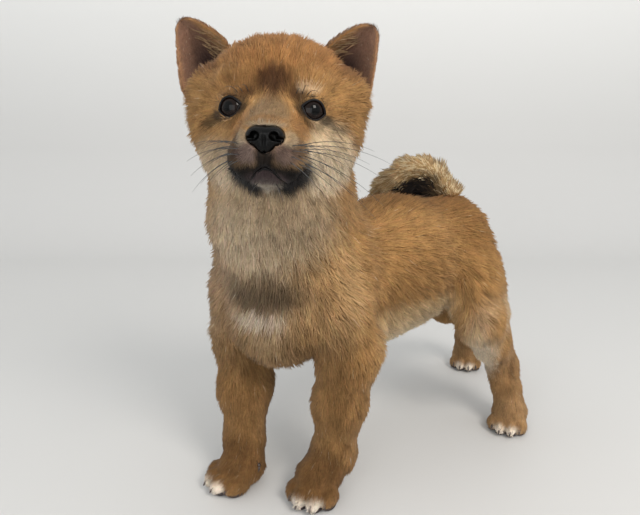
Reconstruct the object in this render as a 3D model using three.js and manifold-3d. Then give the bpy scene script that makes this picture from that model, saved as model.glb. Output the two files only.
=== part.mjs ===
// A shiba inu puppy of about eight weeks, standing on all four feet with its head turned to its left.
// Millimetres, +Z up. The puppy faces -Y, its left side is +X, and the floor is z = 0.
// Each solid is one named sub-part, out to the tips of the coat, and neighbours meet face to face.
import * as THREE from "three";
import Module from "manifold-3d";

const wasm = await Module();
wasm.setup();

// Driving sizes of the animal.
const BACK_HEIGHT = 193; // floor to the top of the coat on the back
const TRUNK_LENGTH = 156; // between the elbows to between the hips
const CHEST_HALF = 50; // half the width of the ribs with the coat
const HIP_HALF = 44; // half the width of the rump with the coat
const SKULL_HALF = 44; // half the width of the skull with the coat
const EYE_RADIUS = 7.8;
const EYE_SIDE = 19.6; // from the middle of the head to the middle of an eye
const EYE_DEPTH = -1;
const NOSE_HALF = [9.3, 6.8, 7]; // half the width, depth and height of the nose leather
const MUZZLE_TIP = 14.5; // radius of the muzzle behind the nose
const GAP = 0.3; // between neighbouring solids

// Turned frames. In each, x is to the puppy's left, y is back and z is up.
function frameAt([x, y, z], turnLeft = 0, noseUp = 0, leftDown = 0) {
  const rad = THREE.MathUtils.degToRad;
  const turn = new THREE.Euler(rad(-noseUp), rad(leftDown), rad(turnLeft), "ZXY");
  return new THREE.Matrix4().makeRotationFromEuler(turn).setPosition(x, y, z);
}
const within = (frame, inner) => new THREE.Matrix4().multiplyMatrices(frame, inner);
const at = (frame, p) => new THREE.Vector3(...p).applyMatrix4(frame);
const V = (x, y, z) => new THREE.Vector3(x, y, z);

const body = frameAt([0, 0, 0]);
const fore = frameAt([0, -0.53 * TRUNK_LENGTH, 0], 25);
const hind = frameAt([0, 0.47 * TRUNK_LENGTH, 0], -7);
const head = frameAt([47.8, -122.5, 252], 53, 8, 2.2);

// Pieces of flesh: functions of a point that give the distance to a surface, below zero inside.
function ball(frame, [cx, cy, cz], [rx, ry, rz]) {
  const m = new THREE.Matrix4().copy(frame).invert().elements;
  return (x, y, z) => {
    const u = (m[0] * x + m[4] * y + m[8] * z + m[12] - cx) / rx;
    const v = (m[1] * x + m[5] * y + m[9] * z + m[13] - cy) / ry;
    const w = (m[2] * x + m[6] * y + m[10] * z + m[14] - cz) / rz;
    const reach = Math.hypot(u, v, w);
    const slope = Math.hypot(u / rx, v / ry, w / rz);
    return slope < 1e-9 ? -Math.min(rx, ry, rz) : (reach * (reach - 1)) / slope;
  };
}
// A limb tapers from ra at a to rb at b, and is squeezed along side to the share of that width.
function limb(a, b, ra, rb, side = V(1, 0, 0), share = 1) {
  const d = b.clone().sub(a);
  const dd = d.lengthSq();
  return (x, y, z) => {
    let px = x - a.x;
    let py = y - a.y;
    let pz = z - a.z;
    const t = Math.min(1, Math.max(0, (px * d.x + py * d.y + pz * d.z) / dd));
    px -= t * d.x;
    py -= t * d.y;
    pz -= t * d.z;
    const across = (px * side.x + py * side.y + pz * side.z) * (1 / share - 1);
    px += across * side.x;
    py += across * side.y;
    pz += across * side.z;
    return Math.hypot(px, py, pz) - ra - t * (rb - ra);
  };
}
// Joins pieces with a fillet about as wide as blend.
function joined(blend, ...pieces) {
  return (x, y, z) => {
    let d = pieces[0](x, y, z);
    for (let i = 1; i < pieces.length; i += 1) {
      const e = pieces[i](x, y, z);
      const h = Math.max(blend - Math.abs(d - e), 0) / blend;
      d = Math.min(d, e) - (h * h * blend) / 4;
    }
    return d;
  };
}

// Trunk and neck.
const neckFoot = at(fore, [-4, 8, 162]);
const neckTop = at(head, [0, 34, -20]);
const trunk = joined(
  14,
  ball(fore, [0, 24, 0.725 * BACK_HEIGHT], [CHEST_HALF, 55, 54]),
  ball(fore, [0, -16, 124], [36, 27, 37]),
  ball(fore, [0, 22, 174], [26, 34, 18]),
  ball(fore, [33, 6, 144], [19, 28, 38]),
  ball(fore, [-35, 4, 144], [19, 28, 38]),
  ball(body, [-6, 12, 141], [CHEST_HALF - 3, 60, 49]),
  limb(at(fore, [0, 24, 141]), V(-6, 12, 141), CHEST_HALF - 6.5, CHEST_HALF - 7),
  limb(V(0, -30, 105), V(-4, 30, 120), 28, 30),
  ball(hind, [0, -13.5, 149], [HIP_HALF - 0.5, 37, 40]),
  limb(neckFoot, neckTop, 49, 42),
  ball(fore, [-19, -22, 187], [22.5, 22.5, 30]),
);

// Legs. A foot stands at x, y and its toes point forward, turned to the left.
const leftward = at(fore, [1, 0, 0]).sub(at(fore, [0, 0, 0]));
const feet = {
  front_left: frameAt([35, -86, 0], 32),
  front_right: frameAt([-8.5, -121.7, 0], 0),
  hind_left: frameAt([51, 93, 0], 30),
  hind_right: frameAt([-52.5, 160, 0], 36),
};
// Each leg: its top, its bend and its ankle, then the radius at its top, its bend, half way down to the
// ankle, and at the ankle. A hind leg has a ham too.
const joints = {
  front_left: [at(fore, [33, -4, 132]), at(fore, [38.5, 9, 98]), V(33.4, -70.8, 27), 25.5, 24, 19, 15],
  front_right: [at(fore, [-33, -4, 132]), at(fore, [-38.5, 1.5, 98]), V(-15.2, -113, 27), 26.5, 24, 19.6, 14],
  hind_left: [at(hind, [27, -8, 129]), V(46, 56, 99), V(36.3, 97.8, 51), 30, 19, 15.2, 11.8],
  hind_right: [at(hind, [-27, -3, 130]), V(-47, 84, 93), V(-47, 152.5, 55), 31, 19, 15.2, 11.8],
};
joints.hind_left.push(at(hind, [25, 5, 116]));
joints.hind_right.push(at(hind, [-25, 9, 116]));
// A hind paw is a seventh smaller than a front paw.
const pawSize = (name) => (name.startsWith("front") ? 1 : 0.86);
// Toes of a front paw from the right to the left: x, y and half the width of each.
const TOES = [
  [-12, -7, 6.4],
  [-4.7, -12.5, 7],
  [4.7, -12.5, 7],
  [12, -7, 6.4],
];
function paw(foot, k) {
  const toes = TOES.map(([x, y, r]) =>
    ball(foot, [k * x, k * y, k * 7.6], [k * r * 0.86, k * r * 1.45, k * r * 1.15]),
  );
  return joined(3.5, ball(foot, [0, 2 * k, 12 * k], [14.5 * k, 16.5 * k, 13 * k]), ...toes);
}
function leg(name) {
  const [top, bend, ankle, topRadius, bendRadius, midRadius, ankleRadius, ham] = joints[name];
  const foot = feet[name];
  const share = name.startsWith("front") ? 0.88 : 0.86;
  const middle = bend.clone().lerp(ankle, 0.5);
  return joined(
    8,
    limb(top, bend, topRadius, bendRadius, leftward, share),
    limb(bend, middle, bendRadius - 0.5, midRadius, leftward, share),
    limb(middle, ankle, midRadius, ankleRadius, leftward, share),
    ...(ham ? [limb(ham, ankle.clone().setZ(ankle.z + 4), 25, ankleRadius - 1, leftward, share)] : []),
    limb(ankle, at(foot, [0, 5, 17]), ankleRadius, 12),
    paw(foot, pawSize(name)),
  );
}
const legs = Object.fromEntries(Object.keys(feet).map((name) => [name, leg(name)]));

// Head.
const P = (x, y, z) => at(head, [x, y, z]);
const pair = (make) => [make(1), make(-1)];
const skull = joined(
  8,
  ball(head, [0, 30, 9], [SKULL_HALF, 38, 36]),
  ...pair((s) => ball(head, [25 * s, 24, -5], [25, 27, 27])),
  ...pair((s) => ball(head, [38 * s, 24, 9], [14, 15, 16])),
  limb(P(0, 4, -13), P(0, -20, -19), 22, MUZZLE_TIP),
  limb(P(0, 14, -29), P(0, -13.5, -32), 14, 8.7),
  ...pair((s) => ball(head, [10.5 * s, -12, -27.5], [10.5, 15.5, 10.5])),
  ...pair((s) => ball(head, [16 * s, 3, 12], [12, 8, 7])),
);
const flesh = joined(10, joined(12, trunk, skull), ...Object.values(legs));

// Tail: a curl from the croup over the back and down the right flank.
// Each row is a place on the middle of the tail and its radius there, out to the tips of the hair.
const TAIL = [
  [1, 66.5, 164, 11.5],
  [-1, 63.5, 184, 11.2],
  [-3.5, 55.5, 198, 10.5],
  [-8, 46.5, 205.5, 10.5],
  [-14, 36.5, 205.5, 11.3],
  [-21.5, 31, 198, 12],
  [-33, 31, 188, 12],
  [-43, 38.5, 179, 11.3],
  [-47, 50, 176, 9.5],
  [-46, 60, 178, 6.5],
];
const tube = (rows) =>
  joined(5, ...rows.slice(1).map(([x, y, z, r], i) => limb(V(...rows[i]), V(x, y, z), rows[i][3], r)));

// The surface of a field inside a box: a net of quads about one cell wide, drawn onto the field's zero.
const ALONG = [0, 1, 2];
function netOf(field, box, cell, sag) {
  const low = box.min.toArray();
  const n = box.max.toArray().map((high, i) => Math.ceil((high - low[i]) / cell) + 1);
  const step = [1, n[0], n[0] * n[1]];
  const value = new Float32Array(n[0] * n[1] * n[2]);
  const place = (k) => [k % n[0], Math.floor(k / step[1]) % n[1], Math.floor(k / step[2])];
  for (let k = 0; k < value.length; k += 1) {
    const [a, b, c] = place(k);
    const rim = ALONG.some((i) => [a, b, c][i] === 0 || [a, b, c][i] === n[i] - 1);
    value[k] = rim ? cell : field(low[0] + a * cell, low[1] + b * cell, low[2] + c * cell);
  }
  const vertexOf = new Int32Array(value.length).fill(-1);
  const points = [];
  for (let k = 0; k < value.length - step[2] - step[1] - 1; k += 1) {
    const middle = cellMiddle(value, k, step);
    if (!middle) continue;
    vertexOf[k] = points.length;
    points.push(place(k).map((g, i) => low[i] + cell * (g + middle[i])));
  }
  for (const p of points) settle(p, field, cell, box);
  const index = [];
  for (const axis of ALONG) {
    const [s, u, w] = [step[axis], step[(axis + 1) % 3], step[(axis + 2) % 3]];
    for (let i = 0; i < value.length - s; i += 1) {
      if (value[i] < 0 === value[i + s] < 0) continue;
      const quad = [i - u - w, i - w, i, i - u].map((j) => vertexOf[j]);
      if (value[i] >= 0) quad.reverse();
      const [p, q, r, t] = quad.map((j) => V(...points[j]));
      const corners = p.distanceTo(r) < q.distanceTo(t) ? [0, 1, 2, 0, 2, 3] : [1, 2, 3, 1, 3, 0];
      index.push(...corners.map((c) => quad[c]));
    }
  }
  return thinned(points, index, (p) => settle(p, field, cell, box), sag);
}
const CORNERS = [0, 1, 2, 3, 4, 5, 6, 7].map((i) => [i & 1, (i >> 1) & 1, i >> 2]);
const EDGES = CORNERS.flatMap((_, i) => [1, 2, 4].filter((bit) => !(i & bit)).map((bit) => [i, i | bit]));
// The mean of a cell's crossings in shares of the cell, or nothing where the surface doesn't pass.
function cellMiddle(value, k, step) {
  const v = CORNERS.map(([a, b, c]) => value[k + a + b * step[1] + c * step[2]]);
  const inside = v.filter((d) => d < 0).length;
  if (inside === 0 || inside === 8) return null;
  const sum = [0, 0, 0];
  let crossings = 0;
  for (const [i, j] of EDGES) {
    if (v[i] < 0 === v[j] < 0) continue;
    const t = v[i] / (v[i] - v[j]);
    for (const m of ALONG) sum[m] += CORNERS[i][m] + t * (CORNERS[j][m] - CORNERS[i][m]);
    crossings += 1;
  }
  return sum.map((x) => x / crossings);
}
// Draws a point onto the surface along the field's slope.
function settle(p, field, cell, box) {
  const [low, high] = [box.min.toArray(), box.max.toArray()];
  if (ALONG.some((i) => p[i] < low[i] + cell || p[i] > high[i] - cell)) return;
  const e = 0.05;
  for (let turn = 0; turn < 3; turn += 1) {
    const d = field(p[0], p[1], p[2]);
    const slope = ALONG.map((i) => {
      const [ahead, behind] = [e, -e].map((o) => field(...p.map((x, m) => (m === i ? x + o : x))));
      return (ahead - behind) / (2 * e);
    });
    const steep = Math.max(slope[0] ** 2 + slope[1] ** 2 + slope[2] ** 2, 0.1);
    const move = Math.max(-cell / 2, Math.min(cell / 2, d)) / steep;
    for (const i of ALONG) p[i] -= move * slope[i];
  }
}
// Joins the two ends of an edge wherever the surface bends less than sag between them, so that flat places
// get few triangles and bent ones keep many. draw puts a point back on the surface.
function thinned(points, index, draw, sag) {
  const normal = ([a, b, c]) => {
    const [p, q, r] = [a, b, c].map((v) => V(...v));
    return q.sub(p).cross(r.sub(p));
  };
  let faces = [];
  for (let i = 0; i < index.length; i += 3) faces.push(index.slice(i, i + 3));
  for (let joins = Infinity; joins > faces.length / 200; ) {
    joins = 0;
    const around = points.map(() => []);
    const up = points.map(() => V(0, 0, 0));
    const normals = faces.map((f) => normal(f.map((v) => points[v])));
    faces.forEach((f, i) => f.forEach((v) => { around[v].push(i); up[v].add(normals[i]); }));
    for (const n of up) n.normalize();
    const ring = (v) => new Set(around[v].flatMap((i) => faces[i]).filter((w) => w !== v));
    const edges = faces.flatMap(([a, b, c]) => [[a, b], [b, c], [c, a]]).filter(([a, b]) => a < b);
    const bend = ([a, b]) => V(...points[a]).distanceTo(V(...points[b])) * (0.05 + up[a].angleTo(up[b]));
    const ranked = edges.map((e) => [bend(e), e]).filter(([cost]) => cost < 8 * sag);
    const busy = new Set();
    for (const [, [a, b]] of ranked.sort((e, f) => e[0] - f[0])) {
      if (busy.has(a) || busy.has(b)) continue;
      const [ringA, ringB] = [ring(a), ring(b)];
      if ([...ringA].filter((v) => ringB.has(v)).length !== 2) continue;
      const middle = points[a].map((x, i) => (x + points[b][i]) / 2);
      draw(middle);
      const onBoth = (i) => faces[i].includes(a) && faces[i].includes(b);
      const kept = [...new Set([...around[a], ...around[b]])].filter((i) => !onBoth(i));
      const turned = kept.some((i) => {
        const after = normal(faces[i].map((v) => (v === a || v === b ? middle : points[v])));
        return after.angleTo(normals[i]) > 0.6 || after.length() < 0.2 * sag;
      });
      if (turned) continue;
      points[a] = middle;
      for (const i of around[b]) faces[i] = faces[i].map((v) => (v === b ? a : v));
      for (const v of [a, b, ...ringA, ...ringB]) busy.add(v);
      joins += 1;
    }
    faces = faces.filter(([a, b, c]) => a !== b && b !== c && c !== a);
  }
  const used = [...new Set(faces.flat())];
  const place = new Map(used.map((v, i) => [v, i]));
  return shape(used.flatMap((v) => points[v]), faces.flat().map((v) => place.get(v)));
}
function shape(positions, index) {
  return new THREE.BufferGeometry()
    .setAttribute("position", new THREE.Float32BufferAttribute(positions, 3))
    .setIndex(index);
}

// From geometry to solids that can be joined and cut, and back.
function solid(geometry) {
  const welded = weld(geometry);
  const mesh = new wasm.Mesh({ numProp: 3, vertProperties: welded.positions, triVerts: welded.index });
  return new wasm.Manifold(mesh);
}
function weld(geometry) {
  const p = geometry.attributes.position;
  const known = new Map();
  const positions = [];
  const slot = [];
  for (let i = 0; i < p.count; i += 1) {
    const xyz = [p.getX(i), p.getY(i), p.getZ(i)];
    const key = xyz.map((x) => Math.round(x * 1e4)).join();
    if (!known.has(key)) {
      known.set(key, positions.length / 3);
      positions.push(...xyz);
    }
    slot.push(known.get(key));
  }
  const order = geometry.index ? [...geometry.index.array] : slot.map((_, i) => i);
  const index = [];
  for (let i = 0; i < order.length; i += 3) {
    const [a, b, c] = order.slice(i, i + 3).map((j) => slot[j]);
    if (a !== b && b !== c && c !== a) index.push(a, b, c);
  }
  return { positions: new Float32Array(positions), index: new Uint32Array(index) };
}
const largest = (whole) => whole.decompose().sort((a, b) => b.volume() - a.volume())[0];
function geometryOf(manifold) {
  const { vertProperties, triVerts } = manifold.getMesh();
  return shape([...vertProperties], [...triVerts]);
}

// A round bar along a line, from one distance to another past its start.
function bar(from, toward, start, end, radius, sides = 24) {
  const axis = toward.clone().sub(from).normalize();
  const geometry = new THREE.CylinderGeometry(radius, radius, end - start, sides);
  geometry.applyQuaternion(new THREE.Quaternion().setFromUnitVectors(V(0, 1, 0), axis));
  const middle = from.clone().addScaledVector(axis, (start + end) / 2);
  return solid(geometry.translate(middle.x, middle.y, middle.z));
}
// A bar with a round top, for the cut between a leg and the trunk.
function sleeve(top, bend, topRadius, bendRadius, past) {
  const length = top.distanceTo(bend);
  const arc = [90, 70, 50, 30, 10, -10].map((deg) => {
    const a = THREE.MathUtils.degToRad(deg);
    return new THREE.Vector2(topRadius * Math.cos(a), -topRadius * Math.sin(a));
  });
  arc[0].x = 0;
  const tip = [new THREE.Vector2(bendRadius, length + past), new THREE.Vector2(0, length + past)];
  const geometry = new THREE.LatheGeometry([...arc, ...tip], 24);
  const axis = bend.clone().sub(top).normalize();
  geometry.applyQuaternion(new THREE.Quaternion().setFromUnitVectors(V(0, 1, 0), axis));
  return solid(geometry.translate(top.x, top.y, top.z));
}
function rounded(frame, centre, radii, across = 20, down = 12) {
  const geometry = new THREE.SphereGeometry(1, across, down).scale(...radii).translate(...centre);
  return solid(geometry.applyMatrix4(frame));
}
// The net of the flesh in a cutter's box, and the flesh inside the cutter.
function fleshNet(cutter, cell, sag, field = flesh) {
  const { min, max } = cutter.boundingBox();
  const reach = new THREE.Box3(V(-90, -160, 0), V(110, 200, 310));
  const box = new THREE.Box3(V(...min), V(...max)).intersect(reach).expandByScalar(2.1 * cell);
  return netOf(field, box, cell, sag);
}
const cutFlesh = (cutter, cell, sag, field = flesh) =>
  solid(fleshNet(cutter, cell, sag, field)).intersect(cutter);
// A net pushed out along its normals, to cut what stands on it.
function grown(net, by) {
  const wider = net.clone();
  wider.computeVertexNormals();
  const [p, n] = [wider.attributes.position, wider.attributes.normal];
  for (let i = 0; i < p.count; i += 1) {
    p.setXYZ(i, p.getX(i) + by * n.getX(i), p.getY(i) + by * n.getY(i), p.getZ(i) + by * n.getZ(i));
  }
  wider.deleteAttribute("normal");
  return solid(wider);
}

// Parts of the face and the feet.
const eyeAt = (s) => within(head, frameAt([EYE_SIDE * s, EYE_DEPTH, -1], 20 * s));
const eyeBall = (s, grow = 0) => {
  const r = EYE_RADIUS + grow;
  return rounded(eyeAt(s), [0, 0, 0], [r, r, r], 14, 8);
};
// The rim of the lids, an oval ring a little open below the brow.
function lids(s) {
  const ring = new THREE.TorusGeometry(5.9, 1.5, 7, 20).rotateX(Math.PI / 2).scale(1, 1, 0.9);
  return solid(ring.translate(0, -4.9, 0).applyMatrix4(eyeAt(s)));
}
function nosePad(grow = 0) {
  const radii = NOSE_HALF.map((r) => r + grow);
  return rounded(head, [0, -28.9, -17.5], radii, 14, 8);
}
// A nostril is a bent hollow from the front of the pad out to its side.
function nostril(s) {
  const front = rounded(head, [4.9 * s, -34.6, -17.6], [1.9, 2.6, 2.1], 7, 5);
  return front.add(rounded(head, [7.6 * s, -32.4, -19], [2.6, 2.4, 1.2], 7, 5));
}
// The line of the mouth: how high it lies at each place across and along the muzzle.
function mouthHeight(x, y) {
  const droop = Math.exp(-(((Math.abs(x) - 12) / 5) ** 2)) * THREE.MathUtils.clamp((4 - y) / 20, 0, 1);
  return -31.5 + 0.1 * (y + 30) - 7 * droop;
}
function jawBlock(grow = 0) {
  const [wide, long, back] = [42, 38, -2];
  const box = new THREE.BoxGeometry(wide, long, 60, 14, 7, 1).translate(0, back - long / 2, -60);
  const p = box.attributes.position;
  for (let i = 0; i < p.count; i += 1) {
    const [x, y, z] = [p.getX(i), p.getY(i), p.getZ(i)];
    const side = Math.abs(x) > wide / 2 - 0.1 ? Math.sign(x) * grow : 0;
    const behind = y > back - 0.1 ? grow : 0;
    p.setXYZ(i, x + side, y + behind, z > -31 ? mouthHeight(x, y) + grow : z);
  }
  return solid(box.applyMatrix4(head));
}
// An ear stands on a line from its inner to its outer foot and closes to a rounded tip. Its back is
// bowed, and the front is scooped out to a cup between the two edges.
const EAR = {
  inner: [[19, 31, 29], [24.5, 29, 39.5], [32, 27, 45.7], [41, 26, 50.3], [48.5, 26, 51.3]],
  outer: [[45, 33, -2], [51, 31, 12], [53, 30, 24], [54, 28, 38], [54, 27, 48]],
  bow: [17, 15, 11, 6, 3],
  cup: [9, 10, 7.5, 3, 0.4],
  outward: [0.5, 5.8],
};
function ear(s, rows = 11, across = 10) {
  const curve = (points) => new THREE.CatmullRomCurve3(points.map((p) => V(...p)));
  const [inner, outer] = [curve(EAR.inner), curve(EAR.outer)];
  const level = (list, t) => {
    const i = Math.min(list.length - 2, Math.floor(t * (list.length - 1)));
    return THREE.MathUtils.lerp(list[i], list[i + 1], t * (list.length - 1) - i);
  };
  const positions = [];
  const loop = 2 * across;
  for (let row = 0; row <= rows; row += 1) {
    const t = row / rows;
    const [a, b] = [inner.getPoint(t), outer.getPoint(t)];
    for (let k = 0; k < loop; k += 1) {
      const front = k >= across;
      const u = front ? 1 - (k - across) / across : k / across;
      const swell = 1 - (2 * u - 1) ** 2;
      const p = a.clone().lerp(b, u);
      const depth = front ? level(EAR.cup, t) * swell - 1.2 : level(EAR.bow, t) * swell + 1.2;
      p.x += 0.25 * depth;
      p.y += depth;
      positions.push(s * (p.x + EAR.outward[s > 0 ? 0 : 1]), p.y, p.z);
    }
  }
  const index = [];
  const quad = (a, b, c, d) => index.push(a, b, c, a, c, d);
  for (let row = 0; row < rows; row += 1) {
    for (let k = 0; k < loop; k += 1) {
      const next = (k + 1) % loop;
      const [i, j] = [row * loop, (row + 1) * loop];
      quad(i + k, i + next, j + next, j + k);
    }
  }
  for (let k = 1; k < loop - 1; k += 1) {
    index.push(0, k + 1, k);
    index.push(rows * loop, rows * loop + k, rows * loop + k + 1);
  }
  if (s > 0) index.reverse();
  return solid(shape(positions, index).applyMatrix4(head));
}
// A claw is a short cone that slopes down to the floor, with its root in the toe.
const CLAW_SLOPE = Math.PI + 0.6;
function claw(foot, [x, y, z], turn, grow = 0) {
  const cone = new THREE.ConeGeometry(1.9 + grow, 8 + 3 * grow, 7).rotateX(Math.PI / 2 + CLAW_SLOPE);
  cone.rotateZ(THREE.MathUtils.degToRad(turn)).translate(x, y, z);
  return solid(cone.applyMatrix4(foot));
}

// The solids, each with its colour and its roughness.
const group = new THREE.Group();
group.name = "shiba_inu_puppy";
function add(name, manifold, color, roughness = 0.9) {
  const mesh = new THREE.Mesh(
    geometryOf(largest(manifold)),
    new THREE.MeshStandardMaterial({ color, roughness }),
  );
  mesh.name = name;
  group.add(mesh);
}
const COAT = 0xb07a45;
const PALE = 0xd9c3a2;
const DARK = 0x2a2220;

// Cuts across the neck, perpendicular to it.
const neckLength = neckFoot.distanceTo(neckTop);
const UPPER_CUT = neckLength - 4;
const LOWER_CUT = 12;
const PAW_CUT = 23; // height of the cut over each paw
const headBlock = bar(neckFoot, neckTop, UPPER_CUT, UPPER_CUT + 130, 85);
const neckBlock = bar(neckFoot, neckTop, LOWER_CUT, UPPER_CUT - GAP, 90);
const trunkBlock = bar(neckFoot, neckTop, LOWER_CUT - GAP - 300, LOWER_CUT - GAP, 260, 48);

const headNet = fleshNet(headBlock, 3.6, 0.12);
const face = solid(headNet)
  .intersect(headBlock)
  .add(lids(1))
  .add(lids(-1))
  .subtract(eyeBall(1, GAP))
  .subtract(eyeBall(-1, GAP))
  .subtract(nosePad(GAP));
add("head", face.subtract(jawBlock(GAP)), COAT);
add("lower_jaw", face.intersect(jawBlock()), PALE);
add("nose", nosePad().subtract(nostril(1)).subtract(nostril(-1)), 0x141214, 0.35);
add("neck", cutFlesh(neckBlock, 6, 0.22), COAT);
const skin = grown(headNet, GAP);
for (const [s, side] of [[1, "left"], [-1, "right"]]) {
  add(`eye_${side}`, eyeBall(s), 0x1a100c, 0.08);
  add(`ear_${side}`, ear(s).subtract(skin), 0x8a5a38);
}

// Each leg: the upper part in its socket in the trunk, the lower part, and the paw with its claws.
const SPINE_STRIP = 7; // the trunk keeps this much on each side of its middle
const sideBlock = (frame, s, from) =>
  solid(new THREE.BoxGeometry(200, 400, 400).translate(s * (100 + from), 0, 0).applyMatrix4(frame));
const trunkNet = fleshNet(trunkBlock, 7, 0.34);
let trunkSolid = solid(trunkNet).intersect(trunkBlock);
for (const [name, [top, bend, ankle, topRadius, bendRadius, , , ham]] of Object.entries(joints)) {
  const foot = feet[name];
  const cut = ham ? 14 : 11;
  const shank = (grow) => bar(bend, ankle, cut - grow, bend.distanceTo(ankle) + 40, 33 + grow);
  const socket = (grow) => {
    const front = sleeve(top, bend, topRadius + 4 + grow, bendRadius + 9 + grow, 30);
    const both = ham ? front.add(sleeve(ham, ankle, 29 + grow, 26 + grow, 0)) : front;
    return both.intersect(sideBlock(ham ? hind : fore, name.endsWith("left") ? 1 : -1, SPINE_STRIP - grow));
  };
  trunkSolid = trunkSolid.subtract(socket(GAP)).subtract(shank(GAP));
  const thigh = socket(0).intersect(trunkBlock).subtract(shank(GAP));
  add(`${name}_upper`, cutFlesh(thigh, 5, 0.27), COAT);
  const stand = at(foot, [0, 3, 0]);
  const pawBlock = bar(stand, stand.clone().add(V(0, 0, 9)), 0, PAW_CUT, 30);
  const overPaw = bar(stand, stand.clone().add(V(0, 0, 9)), -20, PAW_CUT + GAP, 60);
  add(`${name}_lower`, cutFlesh(shank(0).subtract(overPaw), 4.5, 0.16), COAT);
  let pawSolid = cutFlesh(pawBlock, 3.4, 0.12, legs[name]);
  const k = pawSize(name);
  TOES.forEach(([x, y, r], i) => {
    const tip = [k * x * 1.02, k * (y - 1.45 * r) + 1.8, 6.6 * k];
    pawSolid = pawSolid.subtract(claw(foot, tip, -x, GAP));
    add(`${name}_claw_${i + 1}`, claw(foot, tip, -x), DARK, 0.4);
  });
  add(`${name}_paw`, pawSolid, PALE);
}
add("torso", trunkSolid, COAT);

// The tail in three lengths, each cut across its core. The first sits on the croup.
const tailPoint = (t) => {
  const i = Math.max(0, Math.min(TAIL.length - 2, Math.floor(t)));
  return V(...TAIL[i]).lerp(V(...TAIL[i + 1]), t - i);
};
const tailReach = (t) => {
  const i = Math.max(0, Math.min(TAIL.length - 2, Math.floor(t)));
  return THREE.MathUtils.lerp(TAIL[i][3], TAIL[i + 1][3], Math.min(1, t - i));
};
const TAIL_CUTS = [3.4, 6.2];
const TAIL_END = TAIL.length - 1;
// The brush of the tail. Its core reaches less than half way from the tail's own flesh to the tips.
const BRUSH = {
  core: 0.56, // radius of the core over the reach of the hair
  firstRow: 1.2, // place of the first row of locks along the tail
  step: 1.0, // about this far from one row to the next
  around: 5, // locks in a row
  lean: 1.35, // how far along the tail a lock's tip lies past its root
  width: 11.5,
  thick: 3,
  sunk: 3.2, // depth of the root in the core
};
const chance = (() => {
  let state = 7;
  return (spread) => {
    state = (state * 16807) % 2147483647;
    return spread * ((2 * state) / 2147483647 - 1);
  };
})();
const CURL_AXIS = V(1, 0, -1); // the tail winds round this
// A place beside the tail: t along it, turned by angle round it, and reach away from its middle.
function beside(t, angle, reach) {
  const along = tailPoint(t + 0.3).sub(tailPoint(t - 0.3)).normalize();
  const side = CURL_AXIS.clone().cross(along).normalize();
  const up = along.clone().cross(side);
  return tailPoint(t)
    .addScaledVector(side, reach * Math.cos(angle))
    .addScaledVector(up, reach * Math.sin(angle));
}
// A flat lock with a ridge down each face. It bends from its root in the core out to a pointed tip.
function lock(t, angle, limit) {
  const tipAt = Math.min(t + BRUSH.lean + chance(0.2), limit);
  const past = Math.max(0, tipAt - TAIL_END);
  const reach = tailReach(Math.min(tipAt, TAIL_END)) * (1 - 0.85 * past);
  const root = beside(t, angle, BRUSH.core * tailReach(t) - BRUSH.sunk);
  const bow = beside((2 * t + tipAt) / 3, angle, 0.98 * tailReach(t));
  const tip = beside(tipAt, angle + chance(0.12), reach + chance(0.8));
  if (flesh(tip.x, tip.y, tip.z) < 1.5) return null;
  const path = new THREE.QuadraticBezierCurve3(root, bow, tip);
  const across = beside(t, angle + Math.PI / 2, 1).sub(tailPoint(t)).normalize();
  const positions = [];
  const rings = [[0, 0.5, 1], [0.5, 1, 1], [0.78, 0.6, 0.7]];
  for (const [u, wide, deep] of rings) {
    const middle = path.getPoint(u);
    const face = across.clone().cross(path.getTangent(u)).normalize();
    const [w, d] = [(BRUSH.width / 2) * wide, (BRUSH.thick / 2) * deep];
    for (const [m, n] of [[w, 0], [0, d], [-w, 0], [0, -d]]) {
      positions.push(...middle.clone().addScaledVector(across, m).addScaledVector(face, n).toArray());
    }
  }
  positions.push(...tip.toArray());
  const index = [0, 2, 1, 0, 3, 2];
  for (let ring = 0; ring < 2; ring += 1) {
    for (let k = 0; k < 4; k += 1) {
      const [a, b] = [4 * ring + k, 4 * ring + ((k + 1) % 4)];
      index.push(a, b, b + 4, a, b + 4, a + 4);
    }
  }
  for (let k = 0; k < 4; k += 1) index.push(8 + k, 8 + ((k + 1) % 4), 12);
  const made = solid(shape(positions, index));
  return made.volume() > 0 ? made : solid(shape(positions, index.reverse()));
}
const underTail = grown(trunkNet, 2 * GAP);
["tail_base", "tail_middle", "tail_tip"].forEach((name, k) => {
  const [from, to] = [TAIL_CUTS[k - 1] ?? 0, TAIL_CUTS[k] ?? TAIL_END];
  const spans = TAIL.slice(Math.floor(from), Math.ceil(to) + 1);
  const core = spans.map(([x, y, z, reach], i) => {
    const dock = k === 0 && i === 0 ? 0.8 : BRUSH.core;
    return [x, y, z, dock * reach];
  });
  const box = new THREE.Box3().setFromPoints(spans.map((p) => V(...p))).expandByScalar(20);
  let length = solid(netOf(tube(core), box, 3.8, 0.25));
  const limit = k === 2 ? TAIL_END + 0.9 : to - 0.1;
  const [first, end] = [k === 0 ? BRUSH.firstRow : from + 0.15, k === 2 ? TAIL_END - 0.15 : to - 0.45];
  const rows = Math.round((end - first) / BRUSH.step);
  for (let row = 0; row <= rows; row += 1) {
    const t = first + ((end - first) * row) / rows;
    for (let i = 0; i < BRUSH.around; i += 1) {
      const angle = (2 * Math.PI * (i + 0.5 * (row % 2))) / BRUSH.around + chance(0.12);
      const made = lock(t, angle, limit);
      if (made) length = length.add(made);
    }
  }
  length = length.subtract(underTail);
  if (k > 0) length = length.subtract(bar(tailPoint(from), tailPoint(from + 0.3), -36, GAP, 24));
  if (k < 2) length = length.subtract(bar(tailPoint(to), tailPoint(to + 0.3), 0, 36, 24));
  add(name, length, COAT);
});

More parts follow.
